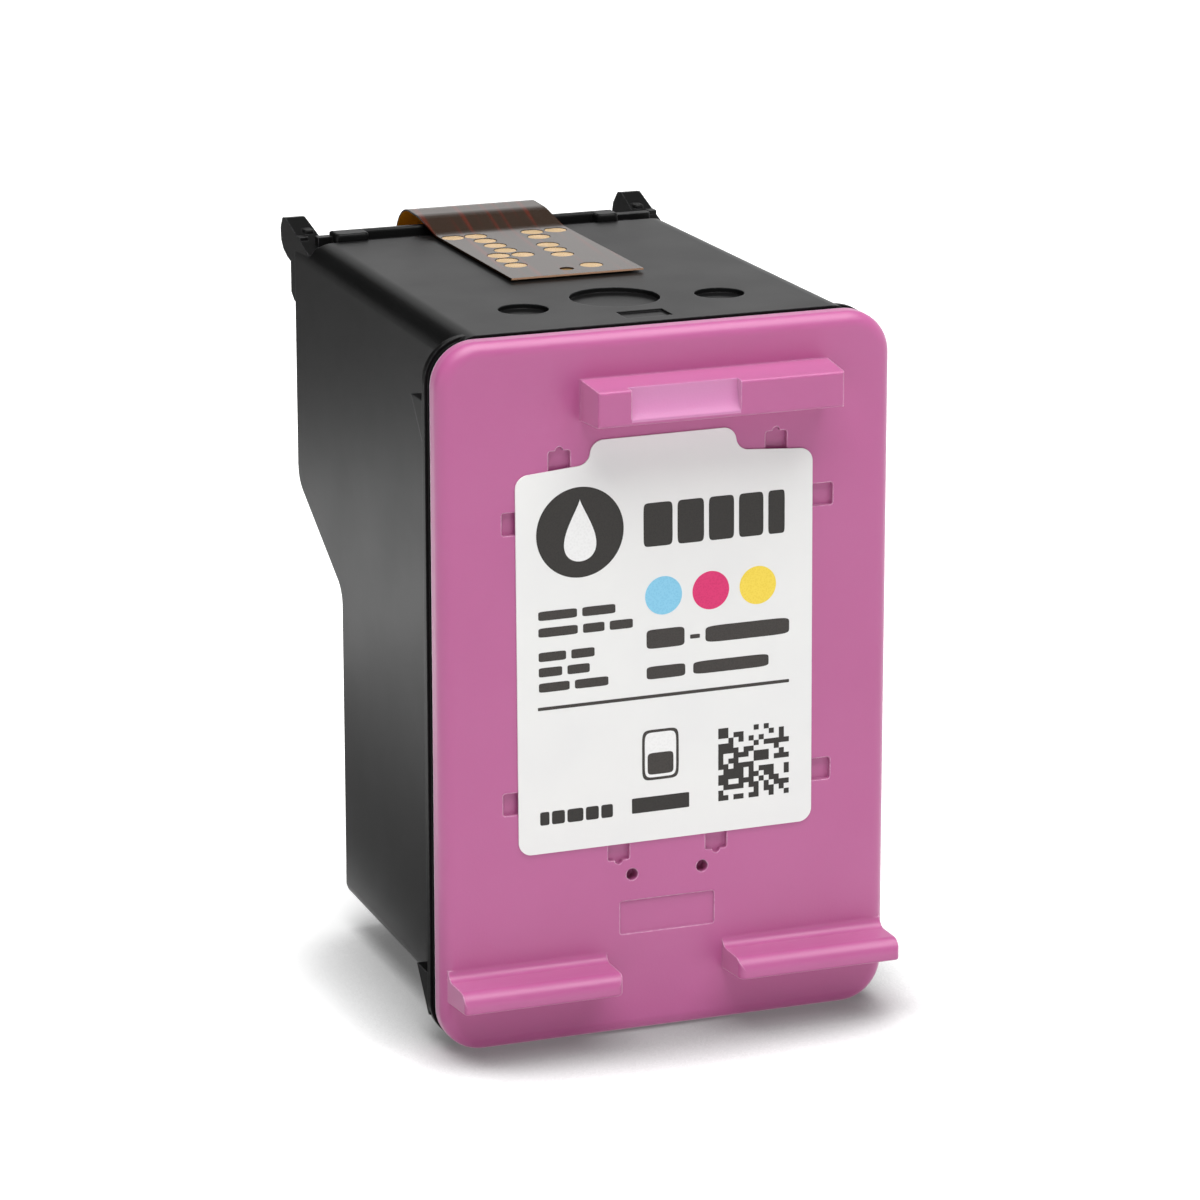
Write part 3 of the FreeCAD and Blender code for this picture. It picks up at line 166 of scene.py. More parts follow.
def buildFloor():
    # white paper on a light table, lifted to a clean white where it is seen, with the object's own shadow kept. Where
    # it is seen it also gets a painted contact shadow beside what stands on it, counted along a normal that leans
    # back, so that most of it lies in front
    floor = {"halfSize": 3.0, "albedo": "#B8B8B8", "glow": 0.34, "contact": 14 * mm,
             "paintedShadowTones": [(0.4, 0.2), (0.78, 0.58), (0.93, 1.0)], "lean": (-0.05, 0.4, 0.91),
             "lift": (0.06, 0.95), "near": 0.3, "far": 1.2}
    material, tree = newMaterial("whiteSweepPaper")
    grain = addNode(tree, "ShaderNodeTexNoise", {"Scale": 1 / (2 * mm), "Detail": 2.0})
    bump = addNode(tree, "ShaderNodeBump", {"Height": grain.outputs["Fac"], "Strength": 0.05, "Distance": 0.01 * mm})
    paper = addNode(tree, "ShaderNodeBsdfDiffuse", {"Color": toLinear(floor["albedo"]),
                                                    "Normal": bump.outputs[0]})
    leaning = addNode(tree, "ShaderNodeCombineXYZ", dict(enumerate(floor["lean"])))
    hidden = addNode(tree, "ShaderNodeAmbientOcclusion", {"Distance": floor["contact"], "Normal": leaning.outputs[0]},
                     samples=8)
    # painted contact shadow: the seen colour darkens with the occlusion beside the object
    shade = setStops(addNode(tree, "ShaderNodeValToRGB", {"Fac": hidden.outputs["AO"]}), floor["paintedShadowTones"])
    paintedShadowPaper = addNode(tree, "ShaderNodeBsdfDiffuse", {"Color": shade})
    where = addNode(tree, "ShaderNodeTexCoord")
    away = addNode(tree, "ShaderNodeVectorMath", {0: where.outputs["Object"]}, operation="LENGTH")
    lift = addNode(tree, "ShaderNodeMapRange", {0: away.outputs["Value"], 1: floor["near"], 2: floor["far"],
                                                3: floor["lift"][0], 4: floor["lift"][1]})
    # the seen glow is darkened by the same painted contact shadow
    through = addNode(tree, "ShaderNodeMath", {0: shade, 1: floor["glow"], 2: lift.outputs[0]},
                      operation="MULTIPLY_ADD")
    glow = addNode(tree, "ShaderNodeEmission", {"Strength": through.outputs[0]})
    lifted = addNode(tree, "ShaderNodeAddShader", {0: paintedShadowPaper.outputs[0], 1: glow.outputs[0]})
    under = addNode(tree, "ShaderNodeEmission", {"Strength": floor["glow"]})
    table = addNode(tree, "ShaderNodeAddShader", {0: paper.outputs[0], 1: under.outputs[0]})
    mixed = addNode(tree, "ShaderNodeMixShader", {0: seenRays(tree), 1: table.outputs[0], 2: lifted.outputs[0]})
    finishMaterial(tree, mixed)
    h = floor["halfSize"]
    mesh = bpy.data.meshes.new("floor")
    mesh.from_pydata([(-h, -h, 0), (h, -h, 0), (h, h, 0), (-h, h, 0)], [], [(0, 1, 2, 3)])
    mesh.materials.append(material)
    sheet = bpy.data.objects.new("floor", mesh)
    bpy.context.scene.collection.objects.link(sheet)


def buildFlag():
    # a dark card behind and to the left, and a mat of the same cloth beside the foot, which only reflections see:
    # they keep the black side and its rounded shoulder from mirroring the floor all the way up and down
    flag = {"right": (-0.005, 0.17), "left": (-0.3, 0.06), "low": 0.002, "high": 0.4,
            "tones": [(0.3, "#7C7C7C"), (0.7, "#868686")], "turnsDark": (0.045, 0.06), "darkShare": 0.04,
            "mat": ((-0.04, -0.03), (-0.0186, 0.08))}
    material, tree = newMaterial("darkFlagCloth")
    weave = addNode(tree, "ShaderNodeTexNoise", {"Scale": 1 / (3 * mm), "Detail": 2.0})
    tone = setStops(addNode(tree, "ShaderNodeValToRGB", {"Fac": weave.outputs["Fac"]}), flag["tones"])
    where = addNode(tree, "ShaderNodeTexCoord")
    split = addNode(tree, "ShaderNodeSeparateXYZ", {0: where.outputs["Object"]})
    start, end = flag["turnsDark"]
    fall = addNode(tree, "ShaderNodeMapRange", {0: split.outputs["Z"], 1: start, 2: end, 3: 1.0,
                                                4: flag["darkShare"]})
    cloth = addNode(tree, "ShaderNodeMath", {0: tone, 1: fall.outputs[0]}, operation="MULTIPLY")
    finishMaterial(tree, addNode(tree, "ShaderNodeBsdfDiffuse", {"Color": cloth.outputs[0]}))
    (rx, ry), (lx, ly), ((x0, y0), (x1, y1)) = flag["right"], flag["left"], flag["mat"]
    low, high = flag["low"], flag["high"]
    mesh = bpy.data.meshes.new("flag")
    mesh.from_pydata([(lx, ly, low), (rx, ry, low), (rx, ry, high), (lx, ly, high),
                      (x0, y0, low), (x1, y0, low), (x1, y1, low), (x0, y1, low)], [],
                     [(0, 1, 2, 3), (4, 5, 6, 7)])
    mesh.materials.append(material)
    card = bpy.data.objects.new("flag", mesh)
    bpy.context.scene.collection.objects.link(card)
    for rays in ("camera", "diffuse", "shadow", "transmission"):
        setattr(card, "visible_" + rays, False)


buildWorld()
addLamp("topSoftbox")
addLamp("leftFill")
buildFloor()
buildFlag()
print("camera, lamps and floor placed")


# which arrises get the paler tone, a painted highlight along them as well as rubbing: how far the rounded normal
# leans away (cosine), and how open the place is within a reach in mm, which leaves inward corners out; then the
# speckle in mm that breaks the paler tone up
edgeWearAndHighlight = {"lean": (0.98, 0.8), "reach": 0.6, "open": (0.7, 0.9), "speckle": 0.35, "breaks": (0.35, 0.62),
           "least": 0.4}


def mouldedPlastic(name, look):
    # moulded plastic: a slow drift of tone from the melt's flow, the fine even grain of the tool's spark-eroded
    # wall, roughness that wanders a little where it has been handled, and arrises that are slightly rounded and,
    # where they stand out, painted paler in patches: a painted highlight along them as well as rubbing
    material, tree = newMaterial(name)
    where = addNode(tree, "ShaderNodeTexCoord").outputs["Object"]
    flow = addNode(tree, "ShaderNodeTexNoise", {"Vector": where, "Scale": 1 / (look["flow"] * mm), "Detail": 2.0,
                                                "Roughness": 0.5})
    tone = setStops(addNode(tree, "ShaderNodeValToRGB", {"Fac": flow.outputs["Fac"]}),
                    [(0.3, look["colours"][0]), (0.72, look["colours"][1])])
    handled = addNode(tree, "ShaderNodeTexNoise", {"Vector": where, "Scale": 1 / (7 * mm), "Detail": 3.0})
    rough = addNode(tree, "ShaderNodeMapRange", {0: handled.outputs["Fac"], 1: 0.3, 2: 0.7,
                                                 3: look["roughness"][0], 4: look["roughness"][1]})
    facing = addNode(tree, "ShaderNodeNewGeometry")
    rounded = addNode(tree, "ShaderNodeBevel", {"Radius": look["edge"] * mm}, samples=6)
    turned = addNode(tree, "ShaderNodeVectorMath", {0: rounded.outputs[0], 1: facing.outputs["Normal"]},
                     operation="DOT_PRODUCT")
    edgeMask = addNode(tree, "ShaderNodeMapRange", {0: turned.outputs["Value"], 1: edgeWearAndHighlight["lean"][0],
                                                  2: edgeWearAndHighlight["lean"][1]})
    speckle = addNode(tree, "ShaderNodeTexNoise", {"Vector": where, "Scale": 1 / (edgeWearAndHighlight["speckle"] * mm),
                                                   "Detail": 3.0})
    patchy = addNode(tree, "ShaderNodeMapRange", {0: speckle.outputs["Fac"], 1: edgeWearAndHighlight["breaks"][0],
                                                  2: edgeWearAndHighlight["breaks"][1], 3: look["wearAndHighlight"] * edgeWearAndHighlight["least"],
                                                  4: look["wearAndHighlight"]})
    nearby = addNode(tree, "ShaderNodeAmbientOcclusion", {"Distance": edgeWearAndHighlight["reach"] * mm}, samples=4)
    outward = addNode(tree, "ShaderNodeMapRange", {0: nearby.outputs["AO"], 1: edgeWearAndHighlight["open"][0],
                                                   2: edgeWearAndHighlight["open"][1]})
    openPatches = addNode(tree, "ShaderNodeMath", {0: patchy.outputs[0], 1: outward.outputs[0]}, operation="MULTIPLY")
    wearAndHighlight = addNode(tree, "ShaderNodeMath", {0: edgeMask.outputs[0], 1: openPatches.outputs[0]}, operation="MULTIPLY")
    # paler arris tone: a painted highlight as well as wear
    worn = addNode(tree, "ShaderNodeMix", {0: wearAndHighlight.outputs[0], 6: tone, 7: toLinear(look["worn"])},
                   data_type="RGBA")
    pits = addNode(tree, "ShaderNodeTexNoise", {"Vector": where, "Scale": 1 / (look["grain"] * mm), "Detail": 2.0})
    bump = addNode(tree, "ShaderNodeBump", {"Height": pits.outputs["Fac"], "Strength": look["strength"],
                                            "Distance": look["depth"] * mm, "Normal": rounded.outputs[0]})
    colour = worn.outputs[2]
    if "litScoopPatch" in look:
        # the scoop is painted paler: a painted highlight for the light its face catches from the lamp above
        litScoopPatch = look["litScoopPatch"]
        place = addNode(tree, "ShaderNodeSeparateXYZ", {0: where})
        inWidth = addNode(tree, "ShaderNodeMath", {0: place.outputs["X"], 1: litScoopPatch["middle"][0] * mm,
                                                   2: litScoopPatch["half"][0] * mm}, operation="COMPARE")
        inHeight = addNode(tree, "ShaderNodeMath", {0: place.outputs["Z"], 1: litScoopPatch["middle"][1] * mm,
                                                    2: litScoopPatch["half"][1] * mm}, operation="COMPARE")
        inDepth = addNode(tree, "ShaderNodeMath", {0: place.outputs["Y"], 1: (litScoopPatch["front"] + lidPlane) * mm},
                          operation="LESS_THAN")
        both = addNode(tree, "ShaderNodeMath", {0: inWidth.outputs[0], 1: inHeight.outputs[0]}, operation="MULTIPLY")
        inside = addNode(tree, "ShaderNodeMath", {0: both.outputs[0], 1: inDepth.outputs[0]}, operation="MULTIPLY")
        paintedLit = addNode(tree, "ShaderNodeMix", {0: inside.outputs[0], 6: colour, 7: toLinear(litScoopPatch["tone"])},
                          data_type="RGBA")
        colour = paintedLit.outputs[2]
    shader = addNode(tree, "ShaderNodeBsdfPrincipled", {
        "Base Color": colour, "Roughness": rough.outputs[0], "Normal": bump.outputs[0], "IOR": 1.5,
        "Specular IOR Level": look["specular"], "Sheen Weight": look["sheen"], "Sheen Roughness": 0.3,
        "Subsurface Weight": look["subsurface"],
        "Subsurface Radius": (1.0, 0.35, 0.6), "Subsurface Scale": 0.8 * mm})
    finishMaterial(tree, shader)
    return material


# polyphenylene blend, spark-eroded tool: near-black, its grain takes most of the gloss off; its paler arris tone
# is a painted highlight as well as wear
housingLook = {"colours": ("#0D0D0D", "#121212"), "roughness": (0.35, 0.38), "flow": 18, "grain": 0.13,
               "strength": 0.3, "depth": 0.008, "specular": 0.12, "subsurface": 0.0, "edge": 0.14,
               "wearAndHighlight": 0.6, "worn": "#6A6A6C", "sheen": 0.0}
# the same plastic dyed magenta, from a smoother tool: satin, slightly translucent at thin edges; its scoop is
# painted paler, a painted highlight
lidLook = {"colours": ("#AF578B", "#B45C90"), "roughness": (0.34, 0.41), "flow": 16, "grain": 0.16,
           "strength": 0.5, "depth": 0.012, "specular": 0.5, "subsurface": 0.12, "edge": 0.2, "wearAndHighlight": 0.9,
           # the paler arris tone below is a painted highlight as well as wear
           "worn": "#F0C2DF", "sheen": 0.6,
           # the scoop's paler tone is a painted highlight
           "litScoopPatch": {"middle": (-0.06, 50.6), "half": (4.36, 1.35), "front": -4.92, "tone": "#C47EAB"}}
dress("housing", mouldedPlastic("blackPolyphenyleneMoulding", housingLook))
dress("lid", mouldedPlastic("magentaPolyphenyleneMoulding", lidLook))


def labelFilm():
    # white polypropylene label stock: satin, very slightly orange-peeled by its top coat
    material, tree = newMaterial("whitePolypropyleneLabel")
    where = addNode(tree, "ShaderNodeTexCoord").outputs["Object"]
    cloud = addNode(tree, "ShaderNodeTexNoise", {"Vector": where, "Scale": 1 / (6 * mm), "Detail": 3.0})
    tone = setStops(addNode(tree, "ShaderNodeValToRGB", {"Fac": cloud.outputs["Fac"]}),
                    [(0.3, "#E4E4E3"), (0.7, "#E7E7E5")])
    peel = addNode(tree, "ShaderNodeTexNoise", {"Vector": where, "Scale": 1 / (0.5 * mm), "Detail": 2.0})
    bump = addNode(tree, "ShaderNodeBump", {"Height": peel.outputs["Fac"], "Strength": 0.1, "Distance": 0.01 * mm})
    shader = addNode(tree, "ShaderNodeBsdfPrincipled", {"Base Color": tone, "Roughness": 0.42,
                                                        "Normal": bump.outputs[0], "IOR": 1.5})
    finishMaterial(tree, shader)
    return material


def printedInk(name, pale, deep, pitch):
    # flexographic ink on the film: even, with the screen's fine dots just showing
    material, tree = newMaterial(name)
    where = addNode(tree, "ShaderNodeTexCoord").outputs["Object"]
    screen = addNode(tree, "ShaderNodeTexVoronoi", {"Vector": where, "Scale": 1 / (pitch * mm)})
    tone = setStops(addNode(tree, "ShaderNodeValToRGB", {"Fac": screen.outputs["Distance"]}),
                    [(0.25, deep), (0.6, pale)])
    shader = addNode(tree, "ShaderNodeBsdfPrincipled", {"Base Color": tone, "Roughness": 0.45, "IOR": 1.5,
                                                        "Specular IOR Level": 0.3})
    finishMaterial(tree, shader)
    return material


wavePhase = 20  # the wave texture turns by this many radians over a unit of its scaled length
# the inner side's bright amber is the film's own colour with a painted glow for light coming through it
filmLook = {"cover": "#2C1E14", "track": "#4C1D10", "litThroughAmber": "#C07A10", "edge": "#BC9478", "front": 17.2,
            "inner": 41.0, "trackPitch": 0.55, "trackTurn": 6}


def polyimide():
    # amber polyimide over copper: dark brown and glossy outside, with reddish tracks showing through it; its
    # inner side is painted a bright amber, the film's own amber with a painted glow for the light coming through
    # it, and its cut front edge shows bare copper
    material, tree = newMaterial("amberPolyimideFilm")
    where = addNode(tree, "ShaderNodeTexCoord").outputs["Object"]
    turn = addNode(tree, "ShaderNodeMapping", {"Vector": where,
                                               "Rotation": (0, 0, math.radians(filmLook["trackTurn"]))})
    tracks = addNode(tree, "ShaderNodeTexWave", {"Vector": turn.outputs[0],
                                                 "Scale": 1 / (filmLook["trackPitch"] * mm) / wavePhase * math.pi,
                                                 "Distortion": 0.6, "Detail": 1.0, "Detail Scale": 0.3})
    across = addNode(tree, "ShaderNodeMapping", {"Vector": turn.outputs[0], "Scale": (1.0, 0.12, 0.12)})
    worn = addNode(tree, "ShaderNodeTexNoise", {"Vector": across.outputs[0], "Scale": 1 / (1.7 * mm),
                                                "Detail": 1.0})
    amount = addNode(tree, "ShaderNodeMath", {0: tracks.outputs["Fac"], 1: worn.outputs["Fac"]},
                     operation="MULTIPLY")
    lines = setStops(addNode(tree, "ShaderNodeValToRGB", {"Fac": amount.outputs[0]}),
                     [(0.42, filmLook["cover"]), (0.6, filmLook["track"])])
    facing = addNode(tree, "ShaderNodeNewGeometry")
    split = addNode(tree, "ShaderNodeSeparateXYZ", {0: facing.outputs["Normal"]})
    place = addNode(tree, "ShaderNodeSeparateXYZ", {0: where})
    facesFront = addNode(tree, "ShaderNodeMapRange", {0: split.outputs["Y"], 1: -0.35, 2: -0.1, 3: 1.0, 4: 0.0})
    beyond = addNode(tree, "ShaderNodeMath", {0: place.outputs["Y"], 1: (filmLook["inner"] + lidPlane) * mm},
                     operation="GREATER_THAN")
    inside = addNode(tree, "ShaderNodeMath", {0: facesFront.outputs[0], 1: beyond.outputs[0]}, operation="MULTIPLY")
    forward = addNode(tree, "ShaderNodeMath", {0: place.outputs["Y"], 1: (filmLook["front"] + lidPlane + 0.1) * mm},
                      operation="LESS_THAN")
    edge = addNode(tree, "ShaderNodeMath", {0: forward.outputs[0], 1: facesFront.outputs[0]}, operation="MULTIPLY")
    # painted glow: the inner side's bright amber stands in for light coming through the film
    tone = addNode(tree, "ShaderNodeMix", {0: inside.outputs[0], 6: lines, 7: toLinear(filmLook["litThroughAmber"])},
                   data_type="RGBA")
    cut = addNode(tree, "ShaderNodeMix", {0: edge.outputs[0], 6: tone.outputs[2], 7: toLinear(filmLook["edge"])},
                  data_type="RGBA")
    shader = addNode(tree, "ShaderNodeBsdfPrincipled", {"Base Color": cut.outputs[2], "Roughness": 0.24,
                                                        "IOR": 1.5, "Specular IOR Level": 0.28})
    finishMaterial(tree, shader)
    return material


def thinMetal(name, pale, deep, size, roughness):
    # plated or polished metal: near-mirror, clouded by the foil's own texture and by handling
    material, tree = newMaterial(name)
    where = addNode(tree, "ShaderNodeTexCoord").outputs["Object"]
    cloud = addNode(tree, "ShaderNodeTexNoise", {"Vector": where, "Scale": 1 / (size * mm), "Detail": 4.0})
    tone = setStops(addNode(tree, "ShaderNodeValToRGB", {"Fac": cloud.outputs["Fac"]}),
                    [(0.35, deep), (0.65, pale)])
    rough = addNode(tree, "ShaderNodeMapRange", {0: cloud.outputs["Fac"], 1: 0.3, 2: 0.7, 3: roughness[0],
                                                 4: roughness[1]})
    shader = addNode(tree, "ShaderNodeBsdfPrincipled", {"Base Color": tone, "Roughness": rough.outputs[0],
                                                        "Metallic": 1.0})
    finishMaterial(tree, shader)
    return material


def wovenMesh(name, pale, deep, pitch):
    # twilled steel gauze: two sets of wires at right angles, each a sine of the place over the wires' spacing
    material, tree = newMaterial(name)
    where = addNode(tree, "ShaderNodeTexCoord").outputs["Object"]
    scale = 1 / (pitch * mm) / wavePhase * math.pi
    warp = addNode(tree, "ShaderNodeTexWave", {"Vector": where, "Scale": scale}, bands_direction="X")
    weft = addNode(tree, "ShaderNodeTexWave", {"Vector": where, "Scale": scale}, bands_direction="Y")
    over = addNode(tree, "ShaderNodeMath", {0: warp.outputs["Fac"], 1: weft.outputs["Fac"]}, operation="MAXIMUM")
    # deep between the wires, pale on their crowns: painted shade in the openings, painted highlight on round wires
    tone = setStops(addNode(tree, "ShaderNodeValToRGB", {"Fac": over.outputs[0]}), [(0.35, deep), (0.75, pale)])
    bump = addNode(tree, "ShaderNodeBump", {"Height": over.outputs[0], "Strength": 0.6, "Distance": 0.03 * mm})
    shader = addNode(tree, "ShaderNodeBsdfPrincipled", {"Base Color": tone, "Roughness": 0.32, "Metallic": 1.0,
                                                        "Normal": bump.outputs[0]})
    finishMaterial(tree, shader)
    return material


def soakedFoam(name, pale, deep):
    # open-cell polyurethane foam full of ink: cells of 0.45 mm, darker towards their hollows
    material, tree = newMaterial(name)
    where = addNode(tree, "ShaderNodeTexCoord").outputs["Object"]
    cells = addNode(tree, "ShaderNodeTexVoronoi", {"Vector": where, "Scale": 1 / (0.45 * mm)})
    tone = setStops(addNode(tree, "ShaderNodeValToRGB", {"Fac": cells.outputs["Distance"]}),
                    [(0.2, deep), (0.65, pale)])
    bump = addNode(tree, "ShaderNodeBump", {"Height": cells.outputs["Distance"], "Strength": 0.8,
                                            "Distance": 0.2 * mm})
    shader = addNode(tree, "ShaderNodeBsdfPrincipled", {"Base Color": tone, "Roughness": 0.35, "IOR": 1.4,
                                                        "Normal": bump.outputs[0]})
    finishMaterial(tree, shader)
    return material


def curedResin(name, pale, deep, roughness):
    # dispensed resin: smooth skin that levelled while wet, with a soft waviness over a millimetre or so
    material, tree = newMaterial(name)
    where = addNode(tree, "ShaderNodeTexCoord").outputs["Object"]
    wave = addNode(tree, "ShaderNodeTexNoise", {"Vector": where, "Scale": 1 / (1.2 * mm), "Detail": 2.0})
    tone = setStops(addNode(tree, "ShaderNodeValToRGB", {"Fac": wave.outputs["Fac"]}), [(0.3, deep), (0.7, pale)])
    bump = addNode(tree, "ShaderNodeBump", {"Height": wave.outputs["Fac"], "Strength": 0.3, "Distance": 0.05 * mm})
    shader = addNode(tree, "ShaderNodeBsdfPrincipled", {"Base Color": tone, "Roughness": roughness, "IOR": 1.55,
                                                        "Normal": bump.outputs[0]})
    finishMaterial(tree, shader)
    return material


dress("label", labelFilm())
dress("flex_circuit", polyimide())
dress("contact_pads", thinMetal("goldPlating", "#F0C67C", "#E0B064", 0.7, (0.22, 0.34)))
dress("nozzle_plate", thinMetal("goldFlashedNickel", "#D6B88C", "#CCAC7E", 1.4, (0.16, 0.24)))
dress("printhead_die", thinMetal("polishedSilicon", "#5A6066", "#484D54", 1.5, (0.08, 0.16)))
dress("flex_adhesive", curedResin("acrylicTransferAdhesive", "#8A6A3C", "#75582F", 0.5))
dress("die_adhesive", curedResin("greyDieBondEpoxy", "#4B4A48", "#3C3B3A", 0.38))
dress("encapsulant_beads", curedResin("blackEncapsulantEpoxy", "#16130F", "#0E0C0A", 0.18))
for ink, pale, deep in (("cyan", "#1C7FA8", "#0A3F5C"), ("magenta", "#A51F57", "#560A2A"),
                        ("yellow", "#C9A21C", "#7A5A08")):
    dress("foam_" + ink, soakedFoam(ink + "InkFoam", pale, deep))
    dress("filter_" + ink, wovenMesh(ink + "SideSteelGauze", "#A9ABAD", "#3C3D3F", 0.12))
print("materials made")


# print on the label, in mm: bars and plain shapes with an ordinary label's weight and layout, which form no word.
# Each is a thin slab, sunk in the film and a little proud of it, and what lies on another shape is a layer prouder
labelPrint = {
    "front": -1.9 - 0.12, "sunk": 0.02, "proud": 0.008, "layer": 0.004, "middle": (-0.22, 31.325), "turn": 0.33,
    "emblem": {"place": (-7.1, 40.3), "disc": 3.5, "drop": 2.4, "raised": 0.15},
    "dots": [(-0.4, 34.7), (3.45, 34.7), (7.3, 34.7)], "dotRadius": 1.5,
    "bigBlocks": [(-2.0, 0.35), (0.75, 2.9), (3.3, 5.35), (5.75, 7.75), (8.15, 9.5)], "bigHeights": (38.6, 42.0),
    "small": {"lines": [(-10.5, -4.3, 34.1), (-10.5, -2.9, 32.8), (-10.5, -6.0, 30.9), (-10.5, -6.4, 29.7),
                        (-10.5, -4.9, 28.5)], "height": 0.72, "seed": 4, "wordRange": (1.6, 3.2), "gap": 0.42},
    "hyphened": ([(-1.8, 1.3), (1.75, 2.55), (3.0, 9.9)], [30.6, 31.05, 30.6], [32.1, 31.38, 31.9]),
    "twoWords": ([(-1.8, 1.35), (2.0, 8.2)], 28.2, 29.2),
    "orderCode": ([(-10.5, -9.75), (-9.55, -8.5), (-8.3, -7.0), (-6.8, -5.75), (-5.55, -4.6)], 17.65, 18.7),
    "rule": (-10.6, 9.9, 26.85, 0.26), "bar": (-3.05, 1.65, 17.7, 18.9),
    "gauge": (-0.7, 22.2, 1.5, 2.0, 0.22, 0.7), "cells": (4.05, 9.9, 17.85, 23.65, 14)}


def superellipse(cx, cz, halfWidth, halfHeight, power, count=40):
    # outlines of rounded rectangles: each coordinate is the cosine or sine raised to 2/power, sign kept
    t = (np.arange(count) + 0.5) / count * 2 * np.pi
    c, s = np.cos(t), np.sin(t)
    across = np.sign(c) * np.abs(c) ** (2 / power)
    up = np.sign(s) * np.abs(s) ** (2 / power)
    cx, cz, halfWidth, halfHeight = (np.atleast_1d(v).astype(float)[:, None] for v in (cx, cz, halfWidth, halfHeight))
    return np.stack([cx + halfWidth * across, cz + halfHeight * up], -1)


def slabs(outlines, front, proud):
    # many flat slabs at once: each outline, given anticlockwise from the front, becomes a front ring and a back
    # ring, closed by one face each, with a quad between every pair of neighbours
    turn = math.radians(labelPrint["turn"])
    ox, oz = labelPrint["middle"]
    x, z = outlines[..., 0] - ox, outlines[..., 1] - oz
    x, z = x * math.cos(turn) - z * math.sin(turn) + ox, x * math.sin(turn) + z * math.cos(turn) + oz
    count, sides = x.shape
    points = np.empty((count, 2, sides, 3))
    points[..., 0] = x[:, None]
    points[..., 2] = z[:, None]
    points[:, 0, :, 1] = front - proud + lidPlane
    points[:, 1, :, 1] = front + labelPrint["sunk"] + lidPlane
    base = np.arange(count)[:, None] * 2 * sides
    ring = np.arange(sides)[None]
    after = (ring + 1) % sides
    walls = np.stack([base + ring, base + ring + sides, base + after + sides, base + after], -1).reshape(-1, 4)
    fronts = base + ring
    backs = base + sides + ring[:, ::-1]
    return points.reshape(-1, 3), walls.tolist() + fronts.tolist() + backs.tolist()


def addPrint(name, outlines, material, proud=labelPrint["proud"]):
    points, faces = slabs(outlines, labelPrint["front"], proud)
    return addPiece(name, points, faces, material, "label_film")


def spans(pairs, low, high, power):
    # one rounded block for each pair of left and right ends
    left, right = np.array([p[0] for p in pairs], float), np.array([p[1] for p in pairs], float)
    low, high = np.broadcast_to(low, left.shape), np.broadcast_to(high, left.shape)
    return superellipse((left + right) / 2, (low + high) / 2, (right - left) / 2, (high - low) / 2, power)


def greekedWords(lines, height, seed, wordRange, gap):
    # lines of stand-in copy: each line is cut into word-long bars
    rng = np.random.default_rng(seed)
    pairs, levels = [], []
    for left, right, level in lines:
        x = left
        while x < right - 0.3:
            end = min(x + rng.uniform(*wordRange), right)
            if right - end < wordRange[0] * 0.6:
                end = right
            pairs.append((x, end))
            levels.append(level)
            x = end + gap
    levels = np.array(levels)
    return spans(pairs, levels - height / 2, levels + height / 2, 8)


def dropOutline(cx, cz, radius, count=64):
    # an ink drop: the half-width is the sine of the turn times its half's sine, so that the top comes to a point
    t = (np.arange(count) + 0.5) / count * 2 * np.pi
    across = radius * 0.78 * np.sin(t) * np.sin(t / 2) ** 1.6
    up = radius * np.cos(t)
    return np.stack([cx - across, cz + up], -1)[None]


def blockPattern(left, right, low, high, count):
    # a square field of random cells, with each run of them in a row joined into one bar
    rng = np.random.default_rng(11)
    cells = rng.random((count, count)) < 0.5
    step, rise = (right - left) / count, (high - low) / count
    bars = []
    for row in range(count):
        column = 0
        while column < count:
            if cells[row, column]:
                end = column
                while end < count and cells[row, end]:
                    end += 1
                bars.append((left + column * step, left + end * step, low + row * rise, low + (row + 1) * rise))
                column = end
            column += 1
    bars = np.array(bars)
    return np.stack([bars[:, [0, 1, 1, 0]], bars[:, [2, 2, 3, 3]]], -1)


blackInk = printedInk("blackLabelInk", "#24211E", "#1E1B19", 0.12)
greyInk = printedInk("greyLabelInk", "#35312E", "#2E2A28", 0.12)
whiteInk = printedInk("whiteLabelInk", "#EDEDEC", "#E8E8E7", 0.2)
cyanInk = printedInk("cyanLabelInk", "#8ACAE6", "#80C2E0", 0.16)
magentaInk = printedInk("magentaLabelInk", "#D83470", "#D02E69", 0.16)
yellowInk = printedInk("yellowLabelInk", "#F2D652", "#ECCE48", 0.16)

emblem = labelPrint["emblem"]
discX, discZ = emblem["place"]
onTop = labelPrint["proud"] + labelPrint["layer"]
addPrint("emblemDisc", superellipse(discX, discZ, emblem["disc"], emblem["disc"], 2, 96), blackInk)
addPrint("emblemDrop", dropOutline(discX, discZ + emblem["raised"], emblem["drop"]), whiteInk, onTop)
addPrint("bigCopy", spans(labelPrint["bigBlocks"], *labelPrint["bigHeights"], 9), blackInk)
for (x, z), ink, word in zip(labelPrint["dots"], (cyanInk, magentaInk, yellowInk), ("cyan", "magenta", "yellow")):
    addPrint(word + "Dot", superellipse(x, z, labelPrint["dotRadius"], labelPrint["dotRadius"], 2, 64), ink)
addPrint("smallCopy", greekedWords(**labelPrint["small"]), greyInk)
addPrint("middleCopy", np.concatenate([spans(*labelPrint[line], 7) for line in ("hyphened", "twoWords")]), greyInk)
left, right, level, thick = labelPrint["rule"]
addPrint("rule", spans([(left, right)], level - thick / 2, level + thick / 2, 30), greyInk)
left, right, low, high = labelPrint["bar"]
addPrint("plainBar", spans([(left, right)], low, high, 30), blackInk)
gaugeX, gaugeZ, halfWide, halfHigh, line, fall = labelPrint["gauge"]
addPrint("gaugeFrame", superellipse(gaugeX, gaugeZ, halfWide, halfHigh, 7), greyInk)
addPrint("gaugeInside", superellipse(gaugeX, gaugeZ, halfWide - line, halfHigh - line, 7), whiteInk, onTop)
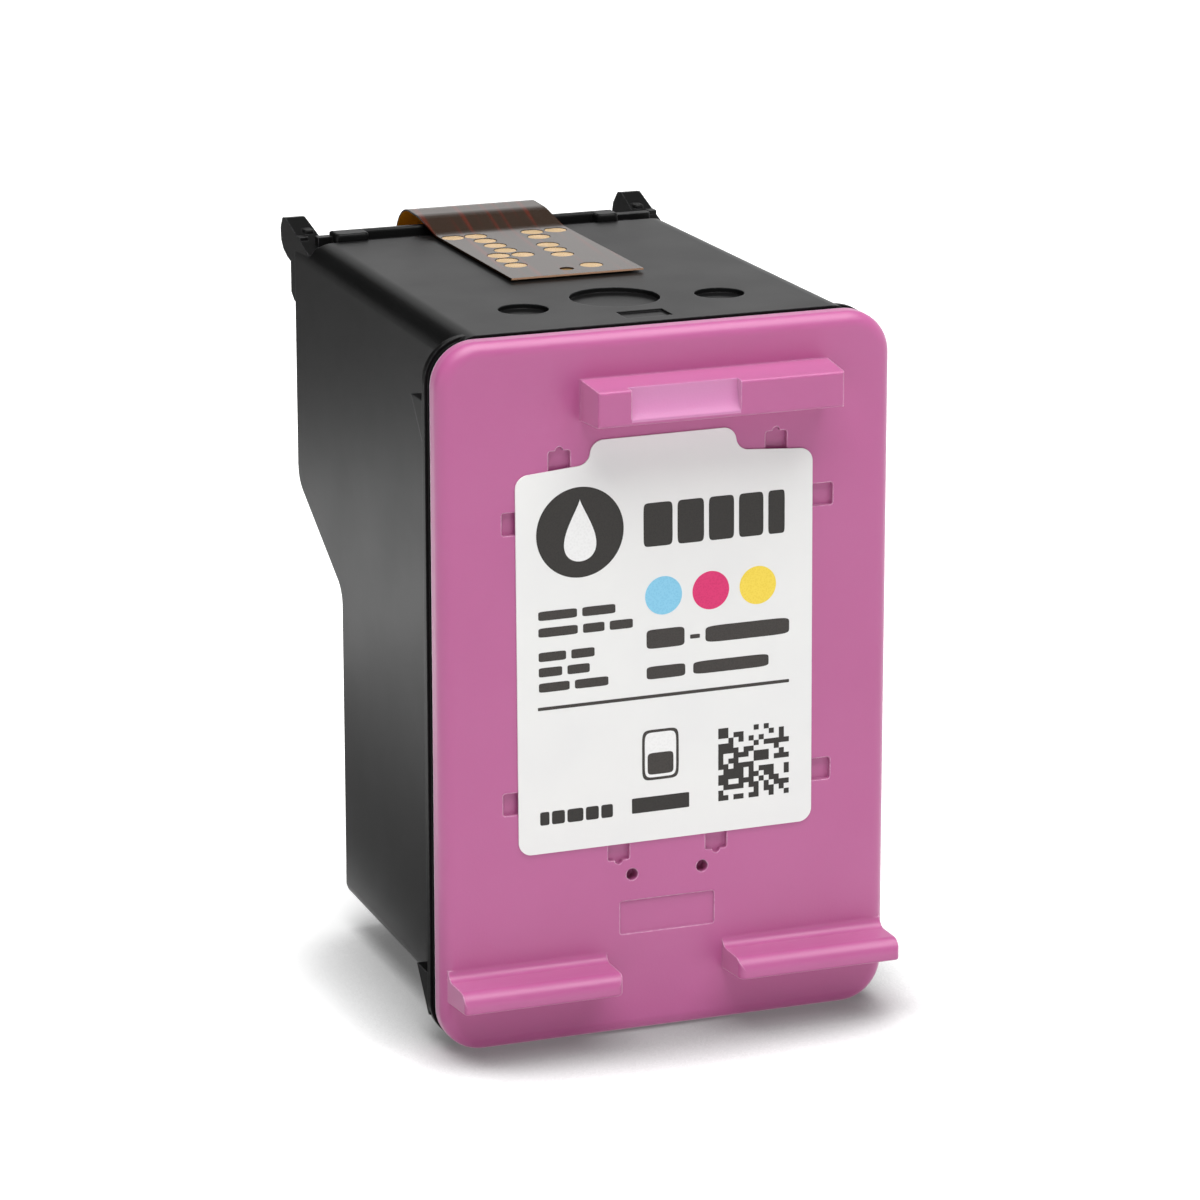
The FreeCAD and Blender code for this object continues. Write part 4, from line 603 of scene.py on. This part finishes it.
addPrint("gaugeLevel", superellipse(gaugeX, gaugeZ - fall, halfWide - 2 * line, halfHigh - 2 * line - fall, 7),
         greyInk, labelPrint["proud"] + 2 * labelPrint["layer"])
addPrint("codeCopy", spans(*labelPrint["orderCode"], 7), blackInk)
addPrint("blockField", blockPattern(*labelPrint["cells"]), blackInk)
print("label print laid")


nozzles = {"slots": (-1.25, 0.0, 1.25), "half": 0.24, "pitch": 0.17, "reach": 3.9, "radius": 0.045,
           "proud": 0.003, "sunk": 0.01, "sides": 12}


def nozzleRows():
    # two rows of nozzles beside each ink slot: every hole is a ring of points at its radius, made a thin dark disc
    # by a second ring behind it, drawn coarser than the real pitch so that it shows; the dark disc is painted shade
    # standing in for the hollow of the hole
    low, high = (np.array(corner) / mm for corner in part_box("nozzle_plate"))
    cx, cz = (low[0] + high[0]) / 2, (low[2] + high[2]) / 2
    levels = np.arange(-nozzles["reach"], nozzles["reach"], nozzles["pitch"])
    across = np.array([slot + side * nozzles["half"] for slot in nozzles["slots"] for side in (-1, 1)])
    x, z = np.meshgrid(cx + across, cz + levels, indexing="ij")
    z = z + np.tile([0.0, nozzles["pitch"] / 2], len(nozzles["slots"]))[:, None]
    sides = nozzles["sides"]
    t = np.arange(sides) / sides * 2 * np.pi
    points = np.empty((x.size, 2, sides, 3))
    points[..., 0] = x.reshape(-1, 1, 1) + nozzles["radius"] * np.cos(t)
    points[..., 2] = z.reshape(-1, 1, 1) + nozzles["radius"] * np.sin(t)
    points[:, 0, :, 1] = high[1] + nozzles["proud"]
    points[:, 1, :, 1] = high[1] - nozzles["sunk"]
    base = np.arange(x.size)[:, None] * 2 * sides
    ring = np.arange(sides)[None]
    after = (ring + 1) % sides
    walls = np.stack([base + ring, base + after, base + after + sides, base + ring + sides], -1).reshape(-1, 4)
    fronts = base + ring[:, ::-1]
    backs = base + ring + sides
    return points.reshape(-1, 3), walls.tolist() + fronts.tolist() + backs.tolist()


# the nozzle discs are painted shade for the holes' hollows
addPiece("nozzleRows", *nozzleRows(), curedResin("paintedShadeNozzleHoles", "#0B0B10", "#050508", 0.3), "nickel_plate")
print("nozzles laid")
